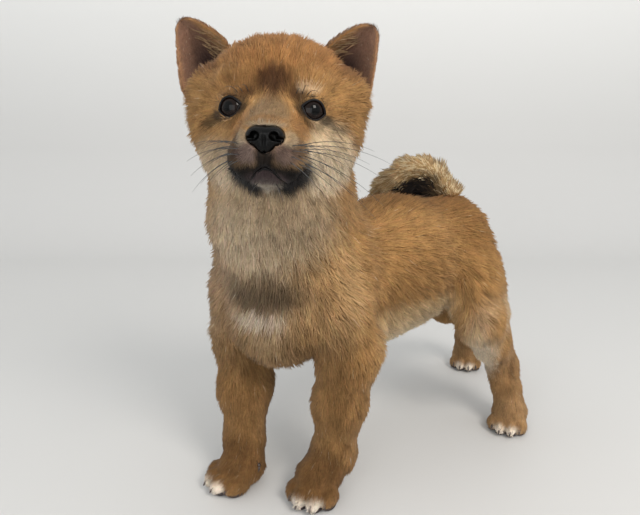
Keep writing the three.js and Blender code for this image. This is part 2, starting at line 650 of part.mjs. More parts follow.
// Stand the group over the middle of its box.
const whole = new THREE.Box3().setFromObject(group);
const shift = whole.getCenter(V(0, 0, 0)).setZ(whole.min.z).negate();
for (const mesh of group.children) mesh.geometry.translate(shift.x, shift.y, shift.z);
export default group;
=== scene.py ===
# %% [markdown]
# # A shiba inu puppy of about eight weeks
#
# The puppy stands on all four feet with its head turned to its left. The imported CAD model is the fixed
# frame: its solids reach out to the tips of the coat. Here the animal gets what CAD leaves out. One
# continuous skin lies a coat's depth inside those solids, and over two hundred thousand small tufts of real
# mesh stand on it, combed the way a puppy's coat lies. Eyes, lids, nose, lips, claws, pads and whiskers are
# pieces of their own. The lesson goes from shape, to skin, to coat, to face, to finishes, to light.

# %% Load the frame
import bpy
import numpy as np
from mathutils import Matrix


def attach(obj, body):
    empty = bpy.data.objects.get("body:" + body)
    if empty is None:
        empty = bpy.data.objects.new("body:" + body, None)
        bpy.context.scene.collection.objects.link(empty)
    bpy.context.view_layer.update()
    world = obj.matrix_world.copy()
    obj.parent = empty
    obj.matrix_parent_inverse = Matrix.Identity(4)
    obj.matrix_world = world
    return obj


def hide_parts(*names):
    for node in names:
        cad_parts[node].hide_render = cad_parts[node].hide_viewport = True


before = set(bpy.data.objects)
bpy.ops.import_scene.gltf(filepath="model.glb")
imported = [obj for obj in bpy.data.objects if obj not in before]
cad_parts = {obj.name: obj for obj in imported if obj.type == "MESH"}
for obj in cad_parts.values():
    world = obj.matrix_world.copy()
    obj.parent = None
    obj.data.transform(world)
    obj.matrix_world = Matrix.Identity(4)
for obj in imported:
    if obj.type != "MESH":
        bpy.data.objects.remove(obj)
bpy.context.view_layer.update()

# %% [markdown]
# ## Places on a body
#
# A leg or a head is easiest to describe in its own turned frame: x to the puppy's left, y back, z up. A
# frame is a rotation and a place, and two small functions go in and out of it. All shapes are worked out
# in millimetres with the puppy facing -Y, and moved to the CAD's own origin when a mesh is made.

# %% Turned frames
SHIFT = np.array([-6.04863, -11.41467, 0.0])  # mm, from the body's origin to the middle of the CAD box


def frame_at(place, turn_left=0, nose_up=0, left_down=0):
    """Rotation and place of a frame: turned about z, then about x, then about y."""
    a, b, c = np.radians([turn_left, -nose_up, left_down])
    about_z = np.array([[np.cos(a), -np.sin(a), 0], [np.sin(a), np.cos(a), 0], [0, 0, 1]])
    about_x = np.array([[1, 0, 0], [0, np.cos(b), -np.sin(b)], [0, np.sin(b), np.cos(b)]])
    about_y = np.array([[np.cos(c), 0, np.sin(c)], [0, 1, 0], [-np.sin(c), 0, np.cos(c)]])
    return about_z @ about_x @ about_y, np.array(place, float)


def within(outer, inner):
    """A frame that is given inside another one."""
    return outer[0] @ inner[0], outer[0] @ inner[1] + outer[1]


def at(where, points):
    """Points of a frame in body coordinates: rotation times point, plus place."""
    return np.asarray(points, float) @ where[0].T + where[1]


def local(where, points):
    """Body points in a frame's own coordinates, the inverse of at."""
    return (points - where[1]) @ where[0]


def unit(v):
    """Vectors divided by their length."""
    return v / np.maximum(np.linalg.norm(v, axis=-1, keepdims=True), 1e-9)


body = frame_at([0, 0, 0])
fore = frame_at([0, -82.68, 0], 25)
hind = frame_at([0, 73.32, 0], -7)
head = frame_at([47.8, -122.5, 252], 53, 8, 2.2)
feet = {
    "front_left": frame_at([35, -86, 0], 32),
    "front_right": frame_at([-8.5, -121.7, 0], 0),
    "hind_left": frame_at([51, 93, 0], 30),
    "hind_right": frame_at([-52.5, 160, 0], 36),
}
rng = np.random.default_rng(8)
print("frames:", 4 + len(feet))

# %% [markdown]
# ## A body as a sum of soft forms
#
# Flesh has no edges, so it is built like clay: each form is a function that tells how far a point is from
# its surface, below zero inside. Two forms are pressed together by taking the nearer one and rounding the
# crease between them. The same functions and sizes gave the CAD solids, so this surface is exactly theirs,
# only smooth. A sculpt or metaballs could do it too, but a function can be asked anywhere, which the skin
# and the tufts will need.

# %% Forms of clay
def ball(where, centre, radii):
    """Ellipsoid: with q the point over the radii, the distance is about |q| (|q| - 1) / |q / radii|."""
    radii = np.array(radii, float)

    def distance(p):
        q = (local(where, p) - centre) / radii
        reach = np.linalg.norm(q, axis=1)
        return reach * (reach - 1) / np.maximum(np.linalg.norm(q / radii, axis=1), 1e-9)

    return distance


def pair(centre, radii):
    """Two ellipsoids on the head, the second the mirror image of the first."""
    return [ball(head, [side * centre[0], *centre[1:]], radii) for side in (1, -1)]


def limb(a, b, ra, rb, side=(1, 0, 0), share=1.0):
    """Tapered bar: distance to the nearest point of a-b less a radius from ra to rb, thin along side."""
    a, d, side = np.array(a, float), np.array(b, float) - a, np.array(side, float)

    def distance(p):
        q = p - a
        t = np.clip(q @ d / (d @ d), 0, 1)
        q = q - t[:, None] * d
        q += ((q @ side) * (1 / share - 1))[:, None] * side
        return np.linalg.norm(q, axis=1) - ra - t * (rb - ra)

    return distance


def joined(blend, *forms):
    """The nearer of the forms, less (blend - their difference)^2 / (4 blend) where both are near."""

    def distance(p):
        d = forms[0](p)
        for form in forms[1:]:
            e = form(p)
            h = np.maximum(blend - np.abs(d - e), 0)
            d = np.minimum(d, e) - h * h / (4 * blend)
        return d

    return distance


# %% Trunk, legs and head
THIGH_WIDE = 25  # mm, radius of a ham where it leaves the rump
neck_foot = at(fore, [-4, 8, 162])
neck_top = at(head, [0, 34, -20])
trunk = joined(
    14,
    ball(fore, [0, 24, 139.9], [50, 55, 54]),
    ball(fore, [0, -16, 124], [36, 27, 37]),
    ball(fore, [0, 22, 174], [26, 34, 18]),
    ball(fore, [33, 6, 144], [19, 28, 38]),
    ball(fore, [-35, 4, 144], [19, 28, 38]),
    ball(body, [-6, 12, 141], [47, 60, 49]),
    limb(at(fore, [0, 24, 141]), [-6, 12, 141], 43.5, 43),
    limb([0, -30, 105], [-4, 30, 120], 28, 30),
    ball(hind, [0, -13.5, 149], [43.5, 37, 40]),
    limb(neck_foot, neck_top, 49, 42),
    ball(fore, [-19, -22, 187], [22.5, 22.5, 30]),
)
leftward = fore[0] @ [1, 0, 0]
# top, bend and ankle of each leg, its radius at top, bend, middle and ankle, and a hind leg's ham
joints = {
    "front_left": (at(fore, [33, -4, 132]), at(fore, [38.5, 9, 98]), [33.4, -70.8, 27], 25.5, 24, 19, 15,
                   None),
    "front_right": (at(fore, [-33, -4, 132]), at(fore, [-38.5, 1.5, 98]), [-15.2, -113, 27], 26.5, 24, 19.6,
                    14, None),
    "hind_left": (at(hind, [27, -8, 129]), [46, 56, 99], [36.3, 97.8, 51], 30, 19, 15.2, 11.8,
                  at(hind, [25, 5, 116])),
    "hind_right": (at(hind, [-27, -3, 130]), [-47, 84, 93], [-47, 152.5, 55], 31, 19, 15.2, 11.8,
                   at(hind, [-25, 9, 116])),
}
TOES = np.array([[-12, -7, 6.4], [-4.7, -12.5, 7], [4.7, -12.5, 7], [12, -7, 6.4]])  # x, y and half width
paw_sizes = {name: 1.0 if name.startswith("front") else 0.86 for name in feet}


def paw(name):
    """A round paw with four toes pressed into its front; a hind paw is a seventh smaller."""
    foot, k = feet[name], paw_sizes[name]
    toes = [ball(foot, [x, y, 7.6 * k], [0.86 * r, 1.45 * r, 1.15 * r]) for x, y, r in TOES * k]
    return joined(3.5, ball(foot, [0, 2 * k, 12 * k], [14.5 * k, 16.5 * k, 13 * k]), *toes)


def leg(name):
    """Thigh, shank, ankle and paw of one leg, squeezed a little from side to side."""
    top, bend, ankle, r_top, r_bend, r_middle, r_ankle, ham = joints[name]
    middle = np.add(bend, ankle) / 2
    share = 0.88 if name.startswith("front") else 0.86
    over = np.add(ankle, [0, 0, 4])
    thigh = [limb(ham, over, THIGH_WIDE, r_ankle - 1, leftward, share)] if ham is not None else []
    return joined(
        8,
        limb(top, bend, r_top, r_bend, leftward, share),
        limb(bend, middle, r_bend - 0.5, r_middle, leftward, share),
        limb(middle, ankle, r_middle, r_ankle, leftward, share),
        *thigh,
        limb(ankle, at(feet[name], [0, 5, 17]), r_ankle, 12),
        paw(name),
    )


muzzle = joined(
    8,
    limb(at(head, [0, 4, -13]), at(head, [0, -20, -19]), 22, 14.5),
    limb(at(head, [0, 14, -29]), at(head, [0, -13.5, -32]), 14, 8.7),
    *pair([10.5, -12, -27.5], [10.5, 15.5, 10.5]),
)
skull = joined(
    8,
    ball(head, [0, 30, 9], [44, 38, 36]),
    *pair([25, 24, -5], [25, 27, 27]),
    *pair([38, 24, 9], [14, 15, 16]),
    muzzle,
    *pair([16, 3, 12], [12, 8, 7]),
)
legs = {name: leg(name) for name in feet}
flesh = joined(10, joined(12, trunk, skull), *legs.values())
print("flesh at the middle of the chest, mm:", float(flesh(np.array([[0.0, -60.0, 140.0]]))[0].round(1)))

# %% [markdown]
# ## The tail's path
#
# A shiba's tail leaves the croup straight up, curls forward over the back and hangs down the far flank.
# Ten stations give the path and how far the hair reaches there. A smooth curve through them comes from
# Catmull-Rom weights, so that the tail bends without corners.

# %% A curve through stations
TAIL = np.array([  # x, y, z and the reach of the hair
    [1, 66.5, 164, 11.5], [-1, 63.5, 184, 11.2], [-3.5, 55.5, 198, 10.5], [-8, 46.5, 205.5, 10.5],
    [-14, 36.5, 205.5, 11.3], [-21.5, 31, 198, 12], [-33, 31, 188, 12], [-43, 38.5, 179, 11.3],
    [-47, 50, 176, 9.5], [-46, 60, 178, 6.5],
])


def curve(stations, t):
    """Catmull-Rom: between stations i and i+1 the curve keeps the slope (next - previous) / 2 at each."""
    stations = np.asarray(stations, float)
    t = np.clip(np.asarray(t, float), 0, len(stations) - 1)
    i = np.minimum(t.astype(int), len(stations) - 2)
    u = (t - i)[..., None]
    p0, p1 = stations[np.maximum(i - 1, 0)], stations[i]
    p2, p3 = stations[i + 1], stations[np.minimum(i + 2, len(stations) - 1)]
    return p1 + 0.5 * u * (p2 - p0 + u * (2 * p0 - 5 * p1 + 4 * p2 - p3 + u * (3 * (p1 - p2) + p3 - p0)))


def tube(rows):
    """A string of limbs through rows of x, y, z and radius."""
    return joined(5, *[limb(a[:3], b[:3], a[3], b[3]) for a, b in zip(rows[:-1], rows[1:])])


DOCK_SHARE = 0.42  # the tail's own flesh, as a share of the reach of its hair
tail_core = tube(TAIL * [1, 1, 1, DOCK_SHARE])
tail_length = np.linalg.norm(np.diff(TAIL[:, :3], axis=0), axis=1).sum()
print("tail, mm along its middle:", round(float(tail_length)))

# %% [markdown]
# ## Combing guides
#
# A groomer would describe a coat by places: on the bridge of the nose it is a millimetre deep and lies
# back, on the neck it is seven millimetres deep and stands out. Each guide below is such a place with four
# facts: how deep the coat is, how steeply the hair lifts from the skin, how wide a tuft is, and which way
# it lies. Between the guides everything is a mean weighted by nearness, so no border shows.

# %% Guides in each frame
# place, depth in mm, lift in degrees, tuft width in mm, lie
HEAD_GUIDES = [
    ([0, -27, -9], 0.6, 12, 0.3, [0, 1, 0.3]),
    ([0, -12, 2], 1.3, 15, 0.36, [0, 0.5, 1]),
    ([0, -6, 14], 2.6, 20, 0.43, [0, 0.3, 1]),
    ([0, 12, 38], 3.2, 22, 0.5, [0, 1, 0.2]),
    ([0, 45, 38], 4.3, 28, 0.58, [0, 1, -0.4]),
    ([0, 62, 10], 5.8, 30, 0.65, [0, 0.3, -1]),
    ([19, -5, 9], 1.7, 18, 0.37, [0.35, 0.2, 1]),
    ([31, 0, 2], 1.9, 16, 0.37, [0.7, 0.8, 0.2]),
    ([20, -8, -11], 1.3, 13, 0.35, [0.6, 0.8, -0.3]),
    ([10, -13, -3], 1, 13, 0.32, [0.2, 0.5, 0.8]),
    ([12, -26, -19], 0.6, 11, 0.3, [0.4, 1, -0.1]),
    ([17, -12, -30], 0.7, 11, 0.32, [0.3, 1, -0.4]),
    ([8, -24, -33], 0.6, 12, 0.32, [0.2, 0.7, -0.7]),
    ([0, -20, -38], 0.9, 15, 0.36, [0, 1, -0.5]),
    ([36, 6, -12], 4, 28, 0.5, [0.35, 0.9, -0.4]),
    ([28, 8, -32], 4.3, 32, 0.54, [0.35, 0.6, -0.8]),
    ([0, 4, -46], 3.6, 30, 0.54, [0, 0.5, -1]),
    ([41, 20, 12], 3.2, 25, 0.5, [0.2, 1, 0.1]),
    ([43, 30, -8], 5.8, 32, 0.61, [0.25, 0.9, -0.6]),
    ([34, 50, 20], 4.7, 30, 0.58, [0.2, 0.7, -0.7]),
]
FORE_GUIDES = [
    ([0, -34, 178], 7.3, 33, 0.63, [0, -0.2, -1]),
    ([0, -42, 150], 7.3, 34, 0.63, [0, -0.25, -1]),
    ([0, -40, 120], 6.6, 34, 0.63, [0, 0, -1]),
    ([0, -24, 98], 4.6, 30, 0.59, [0, 0.8, -0.4]),
    ([42, -20, 175], 7.3, 36, 0.63, [0.35, 0.5, -1]),
    ([46, -22, 140], 5.9, 32, 0.63, [0.3, 0.6, -1]),
    ([50, 20, 165], 5.9, 30, 0.63, [0.1, 1, -0.6]),
    ([54, 16, 130], 5.3, 28, 0.63, [0.1, 1, -0.7]),
    ([0, 45, 196], 5, 26, 0.63, [0, 1, -0.1]),
    ([26, 44, 186], 5.3, 27, 0.63, [0.1, 1, -0.3]),
]
BODY_GUIDES = [
    ([-6, 30, 193], 4.6, 24, 0.63, [0, 1, 0]),
    ([42, 20, 150], 5.3, 27, 0.63, [0, 1, -0.35]),
    ([-52, 20, 150], 5.3, 27, 0.63, [0, 1, -0.35]),
    ([38, 20, 112], 5.3, 30, 0.63, [0, 0.9, -0.6]),
    ([-46, 20, 112], 5.3, 30, 0.63, [0, 0.9, -0.6]),
    ([-5, 10, 92], 3.3, 24, 0.63, [0, 1, 0]),
]
HIND_GUIDES = [
    ([0, -6, 190], 4.6, 25, 0.63, [0, 1, -0.2]),
    ([36, -8, 160], 5, 27, 0.63, [0.1, 1, -0.6]),
    ([20, 26, 150], 5, 29, 0.63, [0, 0.3, -1]),
    ([44, 0, 120], 4.6, 27, 0.59, [0.1, 0.7, -1]),
]
LEG_GUIDES = [  # share of the way from bend to ankle, outward place is the leg's own middle
    (-0.4, 4.8, 26, 0.58, [0, 0.35, -1]),
    (0.1, 3.3, 22, 0.52, [0, 0.3, -1]),
    (0.6, 2.1, 17, 0.45, [0, 0.15, -1]),
    (1.0, 2.8, 15, 0.4, [0, 0, -1]),
]
FOOT_GUIDES = [
    ([0, 4, 22], 1.5, 14, 0.41, [0, -0.4, -1]),
    ([0, -14, 12], 1.1, 13, 0.38, [0, -1, -0.6]),
    ([0, 12, 8], 1.4, 15, 0.41, [0, 0.2, -1]),
    ([0, -10, 3], 0.9, 12, 0.38, [0, -1, -0.2]),
]


def mirrored(rows):
    """Rows and, where a place is off the middle, their mirror images."""
    flip = np.array([-1, 1, 1])
    return rows + [(flip * r[0], *r[1:4], flip * r[4]) for r in rows if r[0][0] != 0]


def collected():
    """All guides in body coordinates: places, numbers (depth, lift, width) and lies."""
    places, numbers, lies = [], [], []
    framed = [(head, mirrored(HEAD_GUIDES)), (fore, mirrored(FORE_GUIDES)), (body, BODY_GUIDES)]
    framed += [(hind, mirrored(HIND_GUIDES))] + [(foot, FOOT_GUIDES) for foot in feet.values()]
    for where, rows in framed:
        for place, *three, lie in rows:
            places.append(at(where, place))
            numbers.append(three)
            lies.append(where[0] @ unit(np.array(lie, float)))
    for name, (top, bend, ankle, *_rest) in joints.items():
        for share, *three, lie in LEG_GUIDES:
            places.append(np.add(bend, share * np.subtract(ankle, bend)))
            numbers.append(three)
            lies.append(unit(unit(np.subtract(ankle, bend)) + 0.5 * np.array(lie)))
    return np.array(places), np.array(numbers), np.array(lies)


GUIDES = collected()


def combed(p):
    """Depth, lift and width of the coat, and its lie: means weighted by 1 / (distance^2 + 9^2)^2."""
    places, numbers, lies = GUIDES
    out, lie = np.empty((len(p), 3)), np.empty((len(p), 3))
    for start in range(0, len(p), 50000):
        part = slice(start, start + 50000)
        square = ((p[part, None] - places) ** 2).sum(2)
        weight = 1 / (square + 81) ** 2
        weight /= weight.sum(1, keepdims=True)
        out[part], lie[part] = weight @ numbers, weight @ lies
    return out, unit(lie)


print("guides:", len(GUIDES[0]))

# %% [markdown]
# ## One skin from a field
#
# The skin is where the clay, pulled in by the coat's depth, is zero. A surface net finds it: space is cut
# into boxes, and every box that the surface crosses gets one point, at the mean of the crossings on its
# edges. Points of four boxes round a crossed edge make one quad, so the mesh is closed with no seam from
# nose to tail. The boxes are smaller round the face, where a lid or a lip is only a millimetre.

# %% Surface net
def sampled(field, axes):
    """The field on a grid. A block of 4 x 4 x 4 whose middle is far from the surface keeps one value."""
    middles = [a[np.minimum(np.arange(0, len(a), 4) + 2, len(a) - 1)] for a in axes]
    block = [np.repeat(m, 4)[: len(a)] for m, a in zip(middles, axes)]
    reach = np.sqrt(sum(np.max(np.diff(a)) ** 2 for a in axes)) * 2
    coarse_at = np.stack(np.meshgrid(*middles, indexing="ij"), -1).reshape(-1, 3)
    coarse = field(coarse_at).reshape([len(m) for m in middles])
    value = coarse
    for axis, b in enumerate(block):
        value = np.take(value, np.repeat(np.arange(len(middles[axis])), 4)[: len(b)], axis)
    near = np.argwhere(np.abs(value) < 1.5 * reach)
    points = np.stack([a[near[:, m]] for m, a in enumerate(axes)], 1)
    value = value.copy()
    for start in range(0, len(near), 200000):
        some = near[start : start + 200000]
        value[tuple(some.T)] = field(points[start : start + 200000])
    return value


def net_of(field, axes):
    """Points and quads of the field's zero: one point a crossed box, one quad a crossed edge."""
    value = sampled(field, axes)
    strides = np.array([value.shape[1] * value.shape[2], value.shape[2], 1])
    quads, spots = [], []
    for axis in range(3):
        lower, upper = [slice(None)] * 3, [slice(None)] * 3
        lower[axis], upper[axis] = slice(0, -1), slice(1, None)
        i = np.argwhere((value[tuple(lower)] < 0) != (value[tuple(upper)] < 0))
        j = i + np.eye(3, dtype=int)[axis]
        a, b = value[tuple(i.T)], value[tuple(j.T)]
        spot = np.stack([axes[m][i[:, m]] for m in range(3)], 1)
        spot[:, axis] += a / (a - b) * (axes[axis][j[:, axis]] - spot[:, axis])
        u, w = strides[(axis + 1) % 3], strides[(axis + 2) % 3]
        first = i @ strides
        corners = np.stack([first - u - w, first - w, first, first - u], 1)
        corners[a >= 0] = corners[a >= 0][:, ::-1]
        quads.append(corners)
        spots.append(np.repeat(spot, 4, 0))
    quads, spots = np.concatenate(quads), np.concatenate(spots)
    index = np.unique(quads.ravel(), return_inverse=True)[1]
    count = np.bincount(index)
    points = np.stack([np.bincount(index, spots[:, m]) / count for m in range(3)], 1)
    return points, index.reshape(-1, 4)


def slope_of(field, p, step=0.05):
    """Slope of a field at points, from the difference a step ahead and a step behind on each axis."""
    ahead = [field(p + step * e) - field(p - step * e) for e in np.eye(3)]
    return np.stack(ahead, 1) / (2 * step)


def drawn(field, p, turns=2, most=0.8):
    """Points moved onto the field's zero, each turn by distance over slope."""
    for _ in range(turns):
        slope = slope_of(field, p)
        steep = np.maximum((slope ** 2).sum(1), 0.2)
        p = p - (np.clip(field(p), -most, most) / steep)[:, None] * slope
    return p


# %% The face's own places
EYE_RADIUS, OPEN_WIDE, OPEN_HIGH, ALMOND = 7.8, 6.3, 4.9, 2.3  # mm, and the power that points the corners
eyes = {s: within(head, frame_at([19.6 * s, -1, -1], 20 * s, 0, 14 * s)) for s in (1, -1)}


def mouth_line(x, y):
    """Height of the mouth on the head: nearly level in front, 9 mm lower where the lips hang, at x = 10."""
    droop = np.exp(-(((np.abs(x) - 10.5) / 5.5) ** 2)) * np.clip((4 - y) / 20, 0, 1)
    return -31.5 + 0.1 * (y + 30) - 9 * droop


pad = joined(
    2.5,
    ball(head, [0, -28.9, -17.4], [8.0, 6.2, 5.0]),
    *pair([4.9, -30.4, -17.3], [4.3, 4.9, 4.1]),
    ball(head, [0, -30.0, -22.0], [4.2, 4.3, 3.6]),
)


def skin_field(p):
    """Flesh pulled in by the coat's depth, with the tail, sockets, the mouth's groove and flat soles."""
    d = flesh(p) + combed(p)[0][:, 0]
    tail = tail_core(p)
    h = np.maximum(5 - np.abs(d - tail), 0)
    d = np.minimum(d, tail) - h * h / 20
    q = local(head, p)
    front = np.clip((3 - q[:, 1]) / 8, 0, 1) * np.clip((23 - np.abs(q[:, 0])) / 4, 0, 1)
    groove = np.exp(-(((q[:, 2] - mouth_line(q[:, 0], q[:, 1])) / 0.9) ** 2))
    philtrum = np.exp(-((q[:, 0] / 0.8) ** 2)) * np.exp(-(((q[:, 2] + 27) / 4) ** 2)) * (q[:, 1] < -22)
    d = d + 1.5 * groove * front + 0.8 * philtrum
    for eye in eyes.values():
        e = local(eye, p)
        away = np.linalg.norm(e, axis=1)
        lid = away - EYE_RADIUS - 0.9
        h = np.maximum(3.5 - np.abs(d - lid), 0)
        d = np.minimum(d, lid) - h * h / 14
        opening = OPEN_HIGH * (1 - np.abs(e[:, 0] / OPEN_WIDE) ** ALMOND) - np.abs(e[:, 2])
        d = np.maximum(d, np.minimum(opening, -2 - e[:, 1]))
        d = np.maximum(d, EYE_RADIUS + 0.1 - away)
    return np.maximum(np.maximum(d, 0.3 - pad(p)), 0.9 - p[:, 2])


def steps(*stops):
    """An axis from stop to stop with the step given between them: stop, step, stop, step, stop."""
    runs = zip(stops[:-2:2], stops[1::2], stops[2::2])
    parts = [np.linspace(a, b, int(np.ceil((b - a) / step)), endpoint=False) for a, step, b in runs]
    return np.concatenate(parts + [stops[-1:]])


fine, plain = ((0.95, 1.8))
axes = [
    steps(-84.0, plain, 20.0, fine, 86.0),
    steps(-160.0, fine, -94.0, plain, 184.0),
    steps(-3.0, plain, 203.0, fine, 274.0, plain, 306.0),
]
skin_points, skin_quads = net_of(skin_field, axes)
skin_points = drawn(skin_field, skin_points)
skin_normals = unit(slope_of(skin_field, skin_points))
print("skin points:", len(skin_points), "quads:", len(skin_quads))

# %% [markdown]
# ## From arrays to pieces
#
# Every piece below is a set of points and faces in numpy. One function hands them to Blender in a few
# foreach_set calls, moves them to the CAD's origin in metres and seats the piece on the body. Colours that
# follow the animal's markings travel as a colour attribute named tint.


def piece(name, points, faces, material, tint=None, replaced=(), smooth=True):
    """An object from points in mm and an (n, 3) or (n, 4) array of faces; it rides on the root body."""
    mesh = bpy.data.meshes.new(name)
    mesh.vertices.add(len(points))
    mesh.vertices.foreach_set("co", ((points + SHIFT) / 1000).astype(np.float32).ravel())
    mesh.loops.add(faces.size)
    mesh.loops.foreach_set("vertex_index", faces.astype(np.int32).ravel())
    mesh.polygons.add(len(faces))
    mesh.polygons.foreach_set("loop_start", np.arange(0, faces.size, faces.shape[1], dtype=np.int32))
    mesh.polygons.foreach_set("use_smooth", np.full(len(faces), smooth))
    mesh.update(calc_edges=True)
    if tint is not None:
        rgba = np.concatenate([tint, np.ones((len(tint), 1))], 1).astype(np.float32)
        mesh.color_attributes.new("tint", "FLOAT_COLOR", "POINT").data.foreach_set("color", rgba.ravel())
    mesh.materials.append(material)
    obj = bpy.data.objects.new(name, mesh)
    bpy.context.scene.collection.objects.link(obj)
    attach(obj, "root")
    if replaced:
        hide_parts(*replaced)
    return obj


def grid_faces(rows, columns, closed=False, start=0):
    """Quads of a grid of points, row after row; a closed grid joins its last column to its first."""
    r = np.arange(rows - 1)[:, None] * columns
    c = np.arange(columns if closed else columns - 1)
    after = (c + 1) % columns
    return start + np.stack([r + c, r + after, r + columns + after, r + columns + c], -1).reshape(-1, 4)


# %% [markdown]
# ## Colour, and one helper for nodes
#
# Colours are noted as sRGB hex, as a painter reads them off a screen, and turned to linear light by one
# function. Shader nodes come from one helper that takes settings and links, so that a material reads as a
# short list: what it is, and what that gives the eye.

# %% Colour and nodes
NOISE, CELLS = "ShaderNodeTexNoise", "ShaderNodeTexVoronoi"


def linear(code):
    """sRGB hex to linear light: ((c + 0.055) / 1.055) ^ 2.4 above 0.04045, else c / 12.92."""
    c = np.array([int(code[i : i + 2], 16) for i in (1, 3, 5)]) / 255
    return np.where(c > 0.04045, ((c + 0.055) / 1.055) ** 2.4, c / 12.92)


def mixed(first, second, share):
    """Two hex colours mixed in linear light by a share at each point."""
    return linear(first) + share[:, None] * (linear(second) - linear(first))


def node(tree, kind, settings=(), **links):
    """Adds a node. Settings go on the node; links set or join inputs, with _ for a space in their names."""
    made = tree.nodes.new(kind)
    for key, value in dict(settings).items():
        setattr(made, key, value)
    for key, value in links.items():
        socket = made.inputs[int(key[1:])] if key[1:].isdigit() else made.inputs[key.replace("_", " ")]
        if isinstance(value, bpy.types.NodeSocket):
            tree.links.new(value, socket)
        else:
            socket.default_value = value
    return made


def material(name, **surface):
    """A new material with an empty tree, its Principled shader and its output."""
    made = bpy.data.materials.new(name)
    made.use_nodes = True
    tree = made.node_tree
    tree.nodes.clear()
    shader = node(tree, "ShaderNodeBsdfPrincipled", **surface)
    node(tree, "ShaderNodeOutputMaterial", Surface=shader.outputs[0])
    return made, tree, shader


def patterned(tree, kind, size, **more):
    """Value of a pattern whose cells are size mm wide, on Object coordinates, which are in metres."""
    where = node(tree, "ShaderNodeTexCoord").outputs["Object"]
    return node(tree, kind, Vector=where, Scale=1000 / size, **more).outputs[0]


def spread(tree, value, low, high, start, end):
    """A value that runs from low to high, mapped to run from start to end."""
    return node(tree, "ShaderNodeMapRange", i0=value, i1=low, i2=high, i3=start, i4=end).outputs[0]


def bumpy(tree, shader, height, strength, distance):
    """Bends the shader's normal by a height; distance is the full height in metres."""
    bump = node(tree, "ShaderNodeBump", Height=height, Strength=strength, Distance=distance).outputs[0]
    tree.links.new(bump, shader.inputs["Normal"])


def rgba(code):
    """A hex colour as a socket takes it."""
    return (*linear(code), 1.0)


# %% [markdown]
# ## The markings, and some painted shade
#
# A red shiba puppy is red above and cream below, with soot on the muzzle that fades with age, and white toe
# tips. An airbrush works the same way: start with one colour and lay soft spots over it. Each spot has a
# place and radii in some frame, a colour and a strength. A few spots are painted shade: in part on the
# crown, back and croup, and on the right side of the breast, a band across it, the front legs and the back
# under the tail's curl; one is a painted highlight along the top of the nose. Skin and coat ask the same
# function, so they agree everywhere, from every side.

# %% Spots of colour
RED, RUST, SABLE_AND_SHADE, SHADED_TAN = "#A8804F", "#A27344", "#7C572C", "#684826"
CREAM, WHITE, DUN = "#E3D2B8", "#FFFAF2", "#8A7254"
SOOT, UMBER = "#0D0909", "#43260F"


def both(centre, radii, code, strength):
    """A spot and its mirror image."""
    return [([side * centre[0], *centre[1:]], radii, code, strength) for side in (1, -1)]


# centre, radii, colour, strength
HEAD_SPOTS = [
    # crown, deepened in part as painted shade on the top of the head, inside of the ears' roots, throat and
    # cheeks
    ([0, 18, 40], [44, 44, 30], RUST, 0.85),
    *both([36, 20, 22], [8, 12, 11], "#5C3A26", 0.6),
    ([0, -4, -60], [42, 50, 32], "#BFA98B", 0.85),
    ([31, 2, -27], [20, 26, 14], "#F1DFC2", 0.8),
    ([-31, 2, -28], [20, 26, 13], CREAM, 0.6),
    ([29, -4, -13], [13, 16, 8], "#E9D4B2", 0.55),
    ([-27, -4, -13], [13, 16, 8], DUN, 0.3),
    ([-23, -12, -26], [7, 12, 10], "#6B523E", 0.55),
    ([23, -12, -30], [6, 12, 8], "#8A7458", 0.4),
    # bridge of the nose, forehead and brows
    *both([15, -13, -10], [6, 9, 6], RUST, 0.6),
    ([0, -20, -5], [10, 16, 12], DUN, 0.8),
    ([0, -8, 10.5], [12, 10, 8.5], "#4A260E", 0.6),
    ([0, -8, 11], [8, 10, 6.5], "#331608", 0.65),
    *both([13, -8, 5.5], [4, 6, 3.2], UMBER, 0.8),
    ([0, -22, -10.5], [8, 8, 3], "#A8713F", 0.6),
    # painted highlight: a thin grey line above the nose leather, for the shine of its wet top
    ([0, -26, -12.5], [9, 8, 1.6], "#A39C8C", 0.6),
    ([19, -6, 8.5], [6, 8, 3], CREAM, 0.3),
    ([-20, -5, 9], [8, 9, 6], "#7E5630", 0.5),
    # dark rims round the eyes, drawn out to their outer corners
    *both([19.6, -6, -1], [6.8, 9, 5.4], SOOT, 0.95),
    *both([27, -3, -5], [4.5, 7, 2.2], SOOT, 0.75),
    *both([32, 0, -8], [4, 7, 1.8], SOOT, 0.6),
    # whisker pads, sides of the muzzle and the pale band beside the nose
    ([9, -28, -25], [7, 9, 5], "#5F5150", 0.85),
    ([-9, -28, -25], [7, 9, 5], "#6E605F", 0.85),
    ([15, -22, -22], [5, 10, 5], "#5E4B3C", 0.7),
    ([-15, -22, -22], [5, 10, 8], "#3C2A22", 0.75),
    ([11, -28, -18], [3.2, 9, 4], "#B8A68A", 0.6),
    ([-11, -28, -18], [3.2, 9, 4], "#A89A86", 0.6),
    # soot under the nose, along the lips and on the jaw, with a grey chin
    ([0, -34, -27], [4.4, 12, 8], SOOT, 0.97),
    ([0, -20, -34.5], [19, 22, 6], SOOT, 0.97),
    ([15, -11, -34.5], [10.5, 16, 9], SOOT, 0.98),
    ([-15, -11, -32.5], [11, 16, 10.5], SOOT, 0.98),
    ([0, -26, -35], [6, 9, 2.2], "#4A3A3C", 0.4),
    *both([9, -8, -40], [7, 11, 7], SOOT, 0.98),
    ([0, -16, -42.5], [7.6, 14, 6.8], "#A99E90", 0.92),
    ([0, -24, -36], [10, 14, 3], "#4E4041", 0.8),
]
